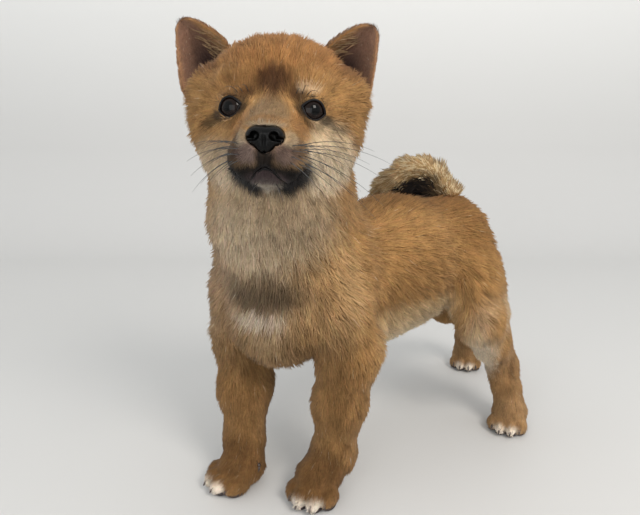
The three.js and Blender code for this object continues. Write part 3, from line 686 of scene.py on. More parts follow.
FORE_SPOTS = [
    # greyish breast, paler on its left side; its right side, away from the light, darker by painted shade
    ([0, -46, 152], [28, 40, 56], "#B09A7E", 0.75),
    ([38, -24, 146], [22, 26, 44], "#C9A87C", 0.5),
    ([-36, -24, 150], [24, 28, 52], "#A58D74", 0.7),
    ([0, -36, 190], [30, 26, 26], CREAM, 0.35),
    # painted shadow as a dark band over the breast, with some dark hair in it, pale patch below it, and the
    # brisket
    ([6, -44, 147], [36, 24, 14], "#3A2A1A", 0.6),
    ([2, -44, 145], [24, 24, 8], "#241A10", 0.4),
    ([0, -44, 130], [23, 16, 6.5], "#D6CABA", 0.5),
    ([0, -30, 104], [30, 30, 18], "#98805F", 0.75),
    ([-36, -16, 108], [20, 30, 26], "#A0835E", 0.55),
]
# pale belly and flanks, sable along the back deepened in part by painted shade on the top, and painted shade
# over dark hair under the tail's curl
BODY_SPOTS = [
    ([-2, 26, 86], [50, 80, 27], CREAM, 0.9),
    ([0, 20, 108], [60, 80, 18], "#DCC39A", 0.6),
    ([-6, 30, 205], [36, 90, 30], SABLE_AND_SHADE, 0.9),
    # painted shade under the tail's curl, over dark hair
    ([-13, 46, 183], [12, 11, 9], "#1E140E", 0.9),
]
# dark croup, deepened in part by painted shade on the top, white between the thighs and behind them, red
# over the outside of each thigh
HIND_SPOTS = [
    ([0, 6, 176], [60, 50, 36], "#80592E", 0.6),
    ([0, -4, 96], [14, 46, 34], WHITE, 0.85),
    ([0, 44, 130], [18, 16, 34], CREAM, 0.6),
    *both([53, -12, 104], [17, 36, 36], RED, 0.85),
]
# painted shade: the front legs darker low down, where the body shades them from the light above, the paws
# darkest
FRONT_LEG_SPOTS = [([0, 0, 62], [34, 36, 66], "#7E5D38", 0.7), ([0, -2, 20], [24, 24, 18], SHADED_TAN, 0.7)]
HIND_LEG_SPOTS = [([0, 0, 46], [30, 34, 34], "#9A7750", 0.8), ([0, 0, 12], [26, 30, 18], "#A5835C", 0.6)]
TOE_SPOTS = both([-6.5, -21, 4], [8.5, 10, 7.5], "#FFF2E0", 0.9)


def markings_and_shade(p):
    """Linear colour at points: red, then each spot mixed in by its strength times a soft round mask."""
    colour = np.tile(linear(RED), (len(p), 1))
    framed = [(fore, FORE_SPOTS), (body, BODY_SPOTS), (hind, HIND_SPOTS), (head, HEAD_SPOTS)]
    for name, foot in feet.items():
        inside, front = (-1 if name.endswith("left") else 1), name.startswith("front")
        pale = ([inside * 22, -8, 84], [12, 38, 38], CREAM, 0.0 if front else 0.85)
        framed.append((foot, (FRONT_LEG_SPOTS if front else HIND_LEG_SPOTS) + [pale] + TOE_SPOTS))
    for where, spots in framed:
        q = local(where, p)
        for centre, radii, code, strength in spots:
            far = np.linalg.norm((q - centre) / np.array(radii), axis=1)
            mask = np.clip((1.35 - far) / 0.7, 0, 1)
            mask = strength * mask * mask * (3 - 2 * mask)
            colour += mask[:, None] * (linear(code) - colour)
    return colour


spot_count = sum(map(len, (HEAD_SPOTS, FORE_SPOTS, BODY_SPOTS, HIND_SPOTS))) + 5 * len(feet)
print("spots of colour:", spot_count)

# %% [markdown]
# ## A coat of solid tufts
#
# Hair curves would be the quick way in Blender, but a model that leaves Blender has to be mesh. So each
# tuft is a closed spike with one bent ridge: six triangles that stand for a dozen hairs. It starts a little
# under the skin, rises, then bends over along the lie. Shared smooth waves of direction draw neighbouring
# tips together, which is how a real coat breaks into locks. The shading normals of a tuft lean towards the
# skin's own, so that the whole coat takes light like plush and not like gravel.

# %% Tufts
WAVES = unit(rng.normal(size=(20, 3))) * (2 * np.pi / rng.uniform(5, 13, (20, 1)))
PHASES = rng.uniform(0, 2 * np.pi, 20)
# a tuft's points are left root, middle root, right root, ridge and tip
CORNERS = np.array([[0, 2, 1], [0, 1, 3], [0, 3, 4], [2, 3, 1], [2, 4, 3], [0, 4, 2]])


def sway(p):
    """A smooth field of directions: sum of cos(wave . p + phase) along each wave, 5 to 13 mm long."""
    return np.cos(p @ WAVES.T + PHASES) @ unit(WAVES) / np.sqrt(len(WAVES) / 3)


def shed(colour, dark=0.06, pale=0.006):
    """Hair by hair difference: brightness varies, a few tufts are dark guard hair, a few are pale down."""
    n = len(colour)
    colour = colour * np.exp(0.09 * rng.normal(size=(n, 1))) * np.exp(0.03 * rng.normal(size=(n, 3)))
    kind = rng.uniform(size=(n, 1))
    colour = np.where(kind < dark, colour * 0.7, colour)
    down = (kind > 1 - pale) & (colour[:, :1] > 0.15)
    return np.where(down, 0.7 * colour + 0.3 * linear(CREAM), colour)


def grow(name, roots, up, lie, length, lift, width, colour, place, finish, clump=0.08):
    """Spikes: a root triangle, a ridge at half the length and a tip; the first half is the steeper one."""
    n = len(roots)
    flat = unit(lie - (lie * up).sum(1, keepdims=True) * up)
    flat = unit(flat + 0.2 * rng.normal(size=(n, 3)) + 0.12 * sway(roots))
    flat = unit(flat - (flat * up).sum(1, keepdims=True) * up)
    side = np.cross(flat, up)
    lift = np.radians(lift * rng.uniform(0.75, 1.25, n))[:, None]
    length = (length * rng.uniform(0.7, 1.12, n))[:, None]
    width = (0.85 * width * rng.uniform(0.7, 1.3, n))[:, None]
    drift = clump * length * sway(roots * 0.9 + 50)
    middle = roots + 0.5 * length * (flat * np.cos(1.25 * lift) + up * np.sin(1.25 * lift)) + 0.3 * drift
    tip = middle + 0.5 * length * (flat * np.cos(0.7 * lift) + up * np.sin(0.7 * lift)) + 0.7 * drift
    left, right = roots - 0.4 * up - 0.5 * width * side, roots - 0.4 * up + 0.5 * width * side
    points = np.stack([left, roots + 0.1 * up, right, middle + 0.2 * width * up, tip], 1).reshape(-1, 3)
    points[:, 2] = np.maximum(points[:, 2], 0.05)
    normals = [unit(up - 0.55 * side), up, unit(up + 0.55 * side), unit(up + 0.15 * flat), up]
    # painted shade: each tuft darker at its root, where the coat shades it, with painted light at its tip
    shade = np.array([0.78, 0.78, 0.78, 0.96, 1.08])[None, :, None]  # darker at the root, pale at the tip
    tint = (colour[:, None] * shade).reshape(-1, 3)
    faces = (CORNERS[None] + 5 * np.arange(n)[:, None, None]).reshape(-1, 3)
    obj = piece(name, points, faces, finish, tint)
    across, along = [-1, 0, 1, 0, 0], [0, -0.5, 0, 1, 2]
    patch = 0.0015 * np.stack([across, along], 1)
    uv = (np.clip(place, 0.004, 0.996)[:, None] + patch).reshape(-1, 2)[faces.ravel()]
    obj.data.uv_layers.new(name="OFBake").data.foreach_set("uv", uv.astype(np.float32).ravel())
    obj.data.normals_split_custom_set_from_vertices(np.stack(normals, 1).reshape(-1, 3))
    return obj


# %% [markdown]
# ### Where tufts stand
#
# Roots are strewn over the skin in proportion to its area divided by the square of a tuft's width, so the
# face gets many small tufts and the back fewer, wider ones, and the tail the closest of all. The hair parts
# round the eyes and leaves the nose and the lips free. Each part of the body has a simple unwrap of its own
# shape, round and along it, which the tufts' UV layer holds.

# %% Roots on the skin
def strewn(points, quads, normals, width, count):
    """Even random places, count in all: running total of area / width^2, read off at even steps."""
    tri = np.concatenate([quads[:, [0, 1, 2]], quads[:, [0, 2, 3]]])
    tri = tri[np.argsort(np.tile(np.arange(len(quads)), 2), kind="stable")]
    a, b, c = (points[tri[:, k]] for k in range(3))
    area = 0.5 * np.linalg.norm(np.cross(b - a, c - a), axis=1)
    total = np.cumsum(area / width[tri].mean(1) ** 2)
    marks = (np.arange(count) + rng.uniform(size=count)) / count * total[-1]
    picks = np.clip(np.searchsorted(total, marks), 0, len(tri) - 1)
    r, s = np.sqrt(rng.uniform(size=(len(picks), 1))), rng.uniform(size=(len(picks), 1))
    share = np.concatenate([1 - r, r * (1 - s), r * s], 1)[..., None]
    t = tri[picks]
    return (points[t] * share).sum(1), unit((normals[t] * share).sum(1))


def nearest(points, spots):
    """Index of the nearest of the points for each spot."""
    out = np.empty(len(spots), int)
    for start in range(0, len(spots), 2000):
        part = slice(start, start + 2000)
        out[part] = np.argmin(((spots[part, None] - points) ** 2).sum(2), 1)
    return out


TAIL_STEPS = np.linspace(0, len(TAIL) - 1, 160)
TAIL_LINE = curve(TAIL, TAIL_STEPS)


def on_tail(p):
    """Nearest step of the tail's line to each point: its number, the way along the tail and the reach."""
    k = nearest(TAIL_LINE[:, :3], p)
    along = unit(np.gradient(TAIL_LINE[:, :3], axis=0))
    return k, along[k], TAIL_LINE[k, 3]


def around(q, x, y, low, high):
    """Unwrap round an upright axis: angle over a turn, and height from low to high."""
    angle = np.arctan2(q[:, 0] - x, y - q[:, 1]) / (2 * np.pi)
    return np.stack([angle + 0.5, (q[:, 2] - low) / (high - low)], 1)


def unwrap(part, p):
    """The place on a part's own unwrap: a globe for the head, a roll for trunk, neck, legs."""
    if part == "head":
        q = local(head, p) - [0, 18, 0]
        return np.stack([np.arctan2(q[:, 0], -q[:, 1]) / (2 * np.pi) + 0.5,
                         q[:, 2] / np.linalg.norm(q, axis=1) / 2 + 0.5], 1)
    if part == "trunk":
        angle = np.arctan2(p[:, 0] + 3, p[:, 2] - 140) / (2 * np.pi)
        return np.stack([angle + 0.5, (p[:, 1] + 150) / 300], 1)
    if part == "neck":
        return around(local(fore, p), 0, 10, 80, 260)
    return around(local(feet[part], p), 0, 10, 0, 175)


TUFTS = 232000
finer = combed(skin_points)[0][:, 2] * np.where(tail_core(skin_points) < 2, 0.5, 1)
roots, up = strewn(skin_points, skin_quads, skin_normals, finer, TUFTS)
(depth, lift, width), lie = combed(roots)[0].T, combed(roots)[1]
q = local(head, roots)
keep = roots[:, 2] > 2.2
for eye in eyes.values():
    e = local(eye, roots)
    keep &= (np.hypot(e[:, 0] / (OPEN_WIDE + 0.8), e[:, 2] / (OPEN_HIGH + 0.8)) > 1) | (e[:, 1] > 0)
    near = np.exp(-((np.linalg.norm(e, axis=1) / 11) ** 2))[:, None]
    lie = lie + 3 * near * unit(roots - eye[1])
    lift = lift * (1 - 0.45 * near[:, 0])
    depth = depth * (1 - 0.6 * near[:, 0])
keep &= pad(roots) > 0.4
keep &= (np.abs(q[:, 2] - mouth_line(q[:, 0], q[:, 1])) > 1.1) | (q[:, 1] > 2) | (np.abs(q[:, 0]) > 22)
roots, up, depth, lift, width, lie = (v[keep] for v in (roots, up, depth, lift, width, lie))
print("roots on the skin:", len(roots))

# %% Parts of the coat
distance = {"head": skull(roots), "trunk": trunk(roots), "tail": tail_core(roots) - 3}
distance.update({name: form(roots) for name, form in legs.items()})
names = list(distance)
owner = np.argmin(np.stack(list(distance.values())), 0)
high_neck = (np.array(names)[owner] == "trunk") & (local(fore, roots)[:, 1] < 6)
label = np.where(high_neck, "neck", np.array(names)[owner])
colour = markings_and_shade(roots)
front = np.isin(label, ["front_left", "front_right"])
# front legs are fluffier above than at the wrist, and the back stands up where the tail curls over it
fluff = np.interp(roots[:, 2], [18, 26, 40, 62, 90, 120], [1.0, 0.85, 0.9, 1.1, 1.15, 1.15])
under_curl = np.exp(-((np.linalg.norm(roots - [-12, 44, 180], axis=1) / 12) ** 2))
fluff = np.where(front, fluff, 1 + 1.6 * under_curl)
print({str(k): int(v) for k, v in zip(*np.unique(label, return_counts=True))})

# %% [markdown]
# ## Finishes of coat and skin
#
# A puppy's coat is soft keratin: no metal, no coat of varnish, a broad dull shine and a faint bright edge
# where fine ends catch the light, which the sheen gives. The colour comes from tint. Two noises break it
# up: one a centimetre wide, as the down shows through, and one as fine as a few hairs.

# %% Coat and skin
def tinted(tree, shader, light):
    """Base colour: the piece's tint attribute times a brightness."""
    tint = node(tree, "ShaderNodeAttribute", {"attribute_name": "tint"}).outputs["Color"]
    colour = node(tree, "ShaderNodeVectorMath", {"operation": "SCALE"}, i0=tint, Scale=light).outputs[0]
    tree.links.new(colour, shader.inputs["Base Color"])


def furry(name, streak, roughness, sheen):
    """Hair or furred skin: tint times two noises, one 11 mm wide and one of the streak's own mm."""
    made, tree, shader = material(name, Roughness=roughness, IOR=1.3, Sheen_Weight=sheen,
                                  Sheen_Roughness=0.6)
    broad, thin = patterned(tree, NOISE, 100 / 9, Detail=3.0), patterned(tree, NOISE, streak, Detail=2.0)
    summed = node(tree, "ShaderNodeMath", {"operation": "ADD"}, i0=broad, i1=thin).outputs[0]
    tinted(tree, shader, spread(tree, summed, 0.7, 1.3, 0.78, 1.2))
    return made, tree, shader, thin


# the coat: dull and soft, with a faint bright edge
coat_finish = furry("soft_puppy_coat", 10 / 7, 0.8, 0.06)[0]
# the skin below: seen only where the coat parts, with a fine nap; its tint is darkened as painted shade
skin_finish, tree, shader, thin = furry("skin_under_coat", 10 / 9, 0.85, 0.0)
bumpy(tree, shader, thin, 0.5, 0.0006)

flesh_nodes = [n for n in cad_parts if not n.startswith(("eye", "ear", "nose")) and "claw" not in n]
# painted shade: the skin takes the markings' colour at seven tenths, as it lies at the bottom of the coat
shaded_skin_tint = markings_and_shade(skin_points) * 0.7
piece("skin", skin_points, skin_quads, skin_finish, shaded_skin_tint, flesh_nodes)
print("skin replaces", len(flesh_nodes), "nodes of flesh")

# %% Grow the coat of head, neck, trunk and legs
MOST = 30000  # tufts in one piece, so that it stays under 200,000 triangles
tuft_count = 0
for part in ["head", "neck", "trunk", *feet]:
    chosen = np.flatnonzero(label == part)
    chosen = chosen[np.argsort(local(head if part == "head" else body, roots[chosen])[:, 0])]
    for k, some in enumerate(np.array_split(chosen, len(chosen) // MOST + 1)):
        steep = np.sin(np.radians(lift[some]))
        long = fluff[some] * depth[some] / steep
        grow(f"coat_{part}_{k + 1}", roots[some], up[some], lie[some], long, lift[some],
             width[some], shed(colour[some]), unwrap(part, roots[some]), coat_finish)
        tuft_count += len(some)
print("tufts on skin:", tuft_count)

# %% [markdown]
# ## The brush of the tail
#
# The curl is sable, with painted shade in its hollow: black in the heart of the ring, brown on the rest of
# its inner side, tan outside, and a third of the outer hairs are cream, which gives it a fringe. These tufts
# are longer than the back's and lift steeply, so against the light wall the curl gets a soft edge. It is
# darker at the root of the tail.

# %% Grow the tail
TAIL_LIFT, TAIL_TUFT = 44.0, 0.6  # degrees, mm
HEART_AT, HEART_RADII = [-9, 44, 193], [14, 12, 12]
part = np.flatnonzero(label == "tail")
step, along, reach = on_tail(roots[part])
from_core = roots[part] - TAIL_LINE[step, :3]
inward = unit(TAIL_LINE[:, :3].mean(0) - TAIL_LINE[step, :3])
facing = (unit(from_core) * inward).sum(1)
outer = np.clip(0.3 - 1.3 * facing, 0, 1)
# the inner side of the curl is darker: dark hair and painted shade in the curl's hollow
tail_colour = mixed("#5A452E", "#AC8E64", outer)
tail_colour = tail_colour * np.interp(step, [0, 40, 90, 160], [0.72, 0.85, 1.15, 1.2])[:, None]
# the heart of the ring near black: dark hair deepened by painted shade in the hollow of the curl
heart = np.linalg.norm((roots[part] - HEART_AT) / HEART_RADII, axis=1)
heart = np.clip((1.25 - heart) / 0.4, 0, 1) * np.clip(0.6 + 2 * facing, 0, 1)
tail_colour = tail_colour + 0.95 * heart[:, None] * (linear("#120B08") - tail_colour)
tail_colour = shed(tail_colour, 0.1, 0.0)
fringe = rng.uniform(size=len(part)) < 0.35 * outer * (1 - heart)
tail_colour = np.where(fringe[:, None], linear("#CDB995"), tail_colour)
hair = (1 - DOCK_SHARE) * reach * (1.2 + 1.7 * np.clip(facing, 0, 1) + 0.5 * heart)
angle = np.arctan2(facing, (unit(from_core) * along).sum(1) + 1e-3)
place = np.stack([angle / 7 + 0.5, step / len(TAIL_LINE)], 1)
out = unit(from_core - (from_core * along).sum(1)[:, None] * along)
grow("coat_tail", roots[part], out, along, hair / np.sin(np.radians(TAIL_LIFT)),
     np.full(len(part), TAIL_LIFT), np.full(len(part), TAIL_TUFT), tail_colour, place, coat_finish,
     clump=0.12)
print("tufts on the tail:", len(part))

# %% [markdown]
# ## Ears
#
# A puppy's ear is a small thick triangle of leather, bowed at the back and cupped in front, with a rounded
# tip. Two curves give its inner and outer edge, as in the CAD, and a rounding draws them together at the
# tip. The back carries the same red plush as the crown. The cup is dark skin with painted shade deepest low
# in its hollow; its down is so thin that the skin shows, and long tan hairs cross it from the inner edge.

# %% Ears
EAR_INNER = [[19, 31, 29], [24.5, 29, 39.5], [32, 27, 45.7], [41, 26, 50.3], [48.5, 26, 51.3]]
EAR_OUTER = [[45, 33, 0], [50.5, 31, 13], [52.5, 30, 25], [53.4, 28, 38], [53.4, 27, 47.5]]
EAR_BOW, EAR_CUP = [17, 15, 11, 6, 3], [9, 10, 7.5, 3, 0.4]
EAR_ROWS, EAR_ACROSS = 44, 18


def normals_of(points, quads):
    """Normal at each point: the sum of the cross products of the diagonals of the quads round it."""
    cross = np.cross(points[quads[:, 2]] - points[quads[:, 0]], points[quads[:, 3]] - points[quads[:, 1]])
    total = np.zeros_like(points)
    for k in range(4):
        np.add.at(total, quads[:, k], cross)
    return unit(total)


def ear_form(s, outward):
    """Points, quads, normals and, for each point, its share across and up and whether it is in the cup."""
    t = np.linspace(0, 1, EAR_ROWS)[:, None, None]
    loop = np.arange(2 * EAR_ACROSS)
    cup = loop >= EAR_ACROSS
    u = np.where(cup, 1 - (loop - EAR_ACROSS) / EAR_ACROSS, loop / EAR_ACROSS)[None, :, None]
    a, b = curve(EAR_INNER, t[..., 0] * 4), curve(EAR_OUTER, t[..., 0] * 4)
    narrow = np.sqrt(np.clip(1 - (np.clip(t - 0.9, 0, 1) / 0.1) ** 2, 0.0004, 1))
    p = a + (0.5 + (u - 0.5) * narrow) * (b - a)
    swell = 1 - (2 * u - 1) ** 2
    rise = [np.interp(t * 4, range(5), row) for row in (EAR_BOW, EAR_CUP)]
    ripple = 0.25 * np.sin(9 * u + 5 * t)
    depth = np.where(cup[None, :, None], rise[1] * swell - 0.7 + ripple * swell, rise[0] * swell + 0.7)
    depth = rise[1] * swell * (1 - narrow) + depth * narrow
    p = p + depth * [0.25, 1, 0]
    p[..., 0] -= 9 * np.clip(1 - t[..., 0] / 0.25, 0, 1) ** 2 * (0.4 + 0.6 * u[..., 0])
    p[..., 0] = s * (p[..., 0] + outward)
    p = at(head, p.reshape(-1, 3))
    quads = grid_faces(EAR_ROWS, 2 * EAR_ACROSS, closed=True)
    quads = quads[:, ::-1] if s > 0 else quads
    shape = (EAR_ROWS, 2 * EAR_ACROSS)
    u, t, cup = (np.broadcast_to(v, shape).ravel() for v in (u[..., 0], t[..., 0], cup[None]))
    return p, quads, normals_of(p, quads), u, t, cup


def ear_colour(u, t, cup):
    """Dark brown in the cup, with painted shade deepest low in its middle, pale along the inner edge, red on
    back and rim.
    """
    edge = np.clip(np.abs(2 * u - 1) * 3.2 - 2.3 + np.clip(t - 0.82, 0, 1) * 3, 0, 1)
    cup_shade = np.exp(-(((u - 0.4) / 0.34) ** 2 + ((t - 0.26) / 0.36) ** 2))
    inside = mixed("#85634F", "#2A120B", cup_shade)
    inside = inside + (edge * 0.8)[:, None] * (linear("#B98A60") - inside)
    medial = np.clip(1.1 - u * 5.5, 0, 0.85) * np.clip(1.4 - t * 0.6, 0, 1)
    inside = inside + medial[:, None] * (linear("#99703F") - inside)
    back = mixed("#9A6B3C", "#7C5434", np.clip(t * 1.3 - 0.5, 0, 1))
    return np.where(cup[:, None], inside, back)


# ear leather: a little smoother than the coat, with a velvet edge
ear_finish = furry("ear_leather_with_down", 2 / 3, 0.7, 0.2)[0]
for s, side, outward in ((1, "left", 0.5), (-1, "right", 5.8)):
    points, quads, normals, u, t, cup = ear_form(s, outward)
    # painted shade: the leather takes the down's colour at 0.85, as it lies under the down
    piece(f"ear_{side}_leather", points, quads, ear_finish, ear_colour(u, t, cup) * 0.85,
          (f"ear_{side}",))
    spots, _ = strewn(points, quads, normals, np.ones(len(points)), TUFTS // 26)
    near = nearest(points, spots)
    n, u, t, cup = normals[near], u[near], t[near], cup[near]
    tipward = unit(head[0] @ np.array([0.25 * s, -0.02, 1.0]))
    outwards = head[0] @ np.array([s, 0, 0.0])
    lie = np.where(cup[:, None], tipward + 0.9 * (0.55 - u)[:, None] * outwards, tipward)
    rim = np.abs(2 * u - 1) > 0.86
    long = np.where(cup, 1.8, 2.6 + 2.6 * np.clip(1.6 - 2 * np.abs(2 * u - 1), 0, 1))
    steep = np.where(cup, 22.0, 17.0) + rim * 8
    place = np.stack([0.25 + 0.5 * cup + 0.22 * (u - 0.5) * 2, 0.05 + 0.9 * t], 1)
    grow(f"ear_{side}_down", spots, n, lie, long, steep, np.where(cup, 0.3, 0.45),
         shed(ear_colour(u, t, cup)), place, coat_finish, clump=0.1)
    some = np.flatnonzero(cup & (u < 0.25) & (t < 0.6))[::8]
    count = len(some)
    grow(f"ear_{side}_feathers", spots[some], n[some], np.tile(tipward * 0.8 + outwards, (count, 1)),
         rng.uniform(5, 9, count), np.full(count, 24.0), np.full(count, 0.26),
         shed(np.tile(linear("#8C7152"), (count, 1))), place[some], coat_finish, clump=0.1)
    print(side, "ear: tufts", len(spots), "long hairs", count)

# %% [markdown]
# ## Tubes along paths
#
# Lids, lips, whiskers and claws are all tubes: a path, a radius along it and a number of sides. One
# function makes them, closed at both ends or joined into a ring.

# %% Tubes
def tubes(paths, radii, sides=8, ring=False, squash=1.0):
    """Closed tubes from paths (m, n, 3) and radii (m, n); squash flattens them along the head's depth."""
    paths, radii = np.asarray(paths, float), np.asarray(radii, float)
    m, n = paths.shape[:2]
    ahead = np.roll(paths, -1, 1) - np.roll(paths, 1, 1) if ring else np.gradient(paths, axis=1)
    tangent = unit(ahead)
    guide = np.where(np.abs(tangent[..., 2:3]) < 0.8, [[0.0, 0.0, 1.0]], [[0.0, 1.0, 0.0]])
    across = unit(np.cross(tangent, guide))
    over = np.cross(across, tangent)
    turn = np.linspace(0, 2 * np.pi, sides, endpoint=False)
    rings = (across[:, :, None] * np.cos(turn)[:, None] * squash + over[:, :, None] * np.sin(turn)[:, None])
    rings = paths[:, :, None] + radii[:, :, None, None] * rings
    quads = grid_faces(n, sides, closed=True)
    if ring:
        last = grid_faces(2, sides, closed=True)
        last = np.where(last < sides, last + (n - 1) * sides, last - sides)
        quads = np.concatenate([quads, last])
    faces = np.concatenate([quads[:, [0, 1, 2]], quads[:, [0, 2, 3]]])
    if not ring:
        k = np.arange(1, sides - 1)
        first, last = np.stack([0 * k, k + 1, k], 1), (n - 1) * sides + np.stack([0 * k, k, k + 1], 1)
        faces = np.concatenate([faces, first, last])
    faces = (faces[None] + (n * sides * np.arange(m))[:, None, None]).reshape(-1, 3)
    return rings.reshape(-1, 3), faces[:, ::-1]


# %% [markdown]
# ## Eyes
#
# At eight weeks the eyes are almost black: a wide pupil in a dark brown iris, under a cornea that bulges
# a little and mirrors the pale box. The lid's edge is bare, dark and moist.

# %% Eyeballs
# the eye: dark and wet, so that it mirrors the lamps and the pale box
eye_finish, tree, shader = material("wet_dark_eye", Roughness=0.05, IOR=1.34, Specular_IOR_Level=0.3)
threads = patterned(tree, NOISE, 0.625, Detail=2.0)
tinted(tree, shader, spread(tree, threads, 0.35, 0.65, 0.7, 1.3))
# lid and lip: bare black skin, moist but with pores that break the shine
lid_finish, tree, shader = material("moist_lid_and_lip", Base_Color=rgba("#070405"), Roughness=0.45,
                                    Specular_IOR_Level=0.2)
bumpy(tree, shader, patterned(tree, NOISE, 0.4, Detail=2.0), 0.4, 0.0002)

PUPIL, IRIS = 0.36, 0.66  # angles from the eye's axis, in radians
theta = np.linspace(0.001, np.pi - 0.001, 60)[:, None]
phi = np.linspace(0, 2 * np.pi, 64, endpoint=False)[None]
for s, side in ((1, "left"), (-1, "right")):
    bulge = EYE_RADIUS * (1 + 0.035 * np.exp(-((theta / 0.55) ** 2)))
    ball_at = np.stack([bulge * np.sin(theta) * np.cos(phi), -bulge * np.cos(theta) + 0 * phi,
                        bulge * np.sin(theta) * np.sin(phi)], -1).reshape(-1, 3)
    turned = np.repeat(theta[:, 0], 64)
    tint = np.where((turned < PUPIL)[:, None], linear("#020202"), linear("#150C08"))
    tint = np.where((turned > IRIS)[:, None], linear("#0B0706"), tint)
    quads = grid_faces(60, 64, closed=True)[:, ::-1]
    piece(f"eye_{side}_ball", at(eyes[s], ball_at), quads, eye_finish, tint, (f"eye_{side}",))
    a = np.linspace(0, 2 * np.pi, 56, endpoint=False)
    x = (OPEN_WIDE + 0.1) * np.cos(a)
    z = (OPEN_HIGH + 0.1) * (1 - np.abs(np.cos(a)) ** ALMOND) * np.sign(np.sin(a))
    y = -np.sqrt((EYE_RADIUS + 0.6) ** 2 - x * x - z * z)
    heavy = 0.42 + 0.25 * np.abs(np.cos(a)) ** 6 + 0.25 * np.clip(np.sin(a), 0, 1)
    points, faces = tubes([at(eyes[s], np.stack([x, y, z], 1))], [heavy], 10, ring=True)
    piece(f"eye_{side}_lid_rim", points, faces, lid_finish)
print("eyes done")

# %% [markdown]
# ## Nose and lips
#
# The nose leather is pebbled and wet. Its nostrils are commas: round in front, with a slit that runs out
# to the side, and a groove divides it down to the lip. The leather is its own clay, netted at half a
# millimetre. The lips are bare dark edges on both sides of the mouth's groove.

# %% Nose leather
NOSTRIL, SLIT = ([4.6, -34.6, -17.6], [1.9, 3.4, 1.9]), ([7.4, -32.8, -18.9], [2.8, 3.0, 0.8])
holes = joined(1, *pair(*NOSTRIL), *pair(*SLIT))


def nose_field(p):
    """The pad, less its nostrils and a groove down its middle."""
    q = local(head, p)
    groove = 0.75 * np.exp(-((q[:, 0] / 0.7) ** 2)) * np.clip((-16.5 - q[:, 2]) / 2.5, 0, 1)
    groove = groove * (q[:, 1] < -28)
    d, hole = pad(p) + groove, 0.3 - holes(p)
    h = np.maximum(0.8 - np.abs(d - hole), 0)
    return np.maximum(d, hole) + h * h / 3.2


middle = at(head, [0.0, -29.0, -18.5])
around_nose = [np.arange(c - 12.0, c + 12.0, 0.42) for c in middle]
points, quads = net_of(nose_field, around_nose)
points = drawn(nose_field, points, 1, 0.3)
# nose leather: black, pebbled and damp, with a broad dim shine
nose_finish, tree, shader = material("wet_nose_leather", Base_Color=rgba("#030303"), Roughness=0.33,
                                     Specular_IOR_Level=0.14)
bumpy(tree, shader, patterned(tree, CELLS, 10 / 11), 0.35, 0.0003)
piece("nose_leather", points, quads, nose_finish, replaced=("nose",))

# %% Lips
def on_front(x, rise):
    """The skin's front at x across and rise above the mouth's line: the first step with skin in it."""
    y = np.linspace(-40, 4, 120)
    grid = np.stack(np.broadcast_arrays(x[:, None], y, mouth_line(x[:, None], y) + rise), -1)
    inside = flesh(at(head, grid.reshape(-1, 3))).reshape(len(x), -1) + 1.2 < 0
    first = np.argmax(inside, 1)
    return grid[np.arange(len(x)), first]


x = np.linspace(-18.5, 18.5, 70)
slim = np.sqrt(np.clip(1 - (x / 19) ** 2, 0.02, 1))
lips = []
for rise, thick in ((0.95, 0.95), (-1.0, 0.8)):
    edge = on_front(x, rise)
    for _ in range(6):
        edge[1:-1] = (edge[:-2] + 2 * edge[1:-1] + edge[2:]) / 4
    lips.append(tubes([at(head, edge)], [thick * slim], 10))
points = np.concatenate([lips[0][0], lips[1][0]])
faces = np.concatenate([lips[0][1], lips[1][1] + len(lips[0][0])])
piece("lips", points, faces, lid_finish)
print("nose and lips done")

# %% [markdown]
# ## Whiskers, claws and pads

# %% Whiskers
WIDEST, FOREMOST = 84, -174  # mm from the middle of the CAD box, as far as a whisker may reach


def whiskers():
    """Four rows of bristles on each side of the muzzle, three over each eye and a few on the chin."""
    starts, ways = [], []
    for s in (1, -1):
        for row in range(4):
            for k in range(4):
                starts.append([s * (10.5 + 1.9 * k + 0.3 * row), -25.5 + 3.2 * k, -21.5 - 2.3 * row])
                ways.append(([s, -0.25 + 0.12 * k, 0.16 - 0.2 * row], 27 + 5.5 * k - 1.5 * row, 0.30))
        for k in range(3):
            starts.append([s * (12.5 + 2.5 * k), -8.5, 7.5])
            ways.append(([s * (0.25 + 0.2 * k), -0.9, 0.8], 12 + 2 * k, 0.5))
        starts.append([s * 5, -16, -42])
        ways.append(([s * 0.4, -0.8, -0.6], 10, 0.3))
    roots = drawn(skin_field, at(head, np.array(starts)), 6, 2.0)
    t = np.linspace(0, 1, 14)
    paths, radii = [], []
    for root, (way, long, sag) in zip(roots, ways):
        way = unit(np.array(way, float) + 0.08 * rng.normal(size=3))
        long *= rng.uniform(0.85, 1.15)
        for _ in range(12):
            bent = t[:, None] * way + (t[:, None] ** 2) * [0, 0.35, -sag]
            path = root + long * bent @ head[0].T
            if np.abs(path[:, 0] + SHIFT[0]).max() < WIDEST and (path[:, 1] + SHIFT[1]).min() > FOREMOST:
                break
            long *= 0.93
        paths.append(path)
        radii.append(0.24 - 0.19 * t ** 0.8)
    return tubes(paths, radii, 5)


points, faces = whiskers()
# a whisker: stiff, smooth and dark, banded a little along its length
whisker_finish, tree, shader = material("stiff_dark_whisker", Roughness=0.35)
bands = patterned(tree, NOISE, 10 / 3)
tree.links.new(spread(tree, bands, 0.3, 0.7, 0.012, 0.05), shader.inputs["Base Color"])
piece("whiskers", points, faces, whisker_finish)
print("whiskers' triangles:", len(faces))

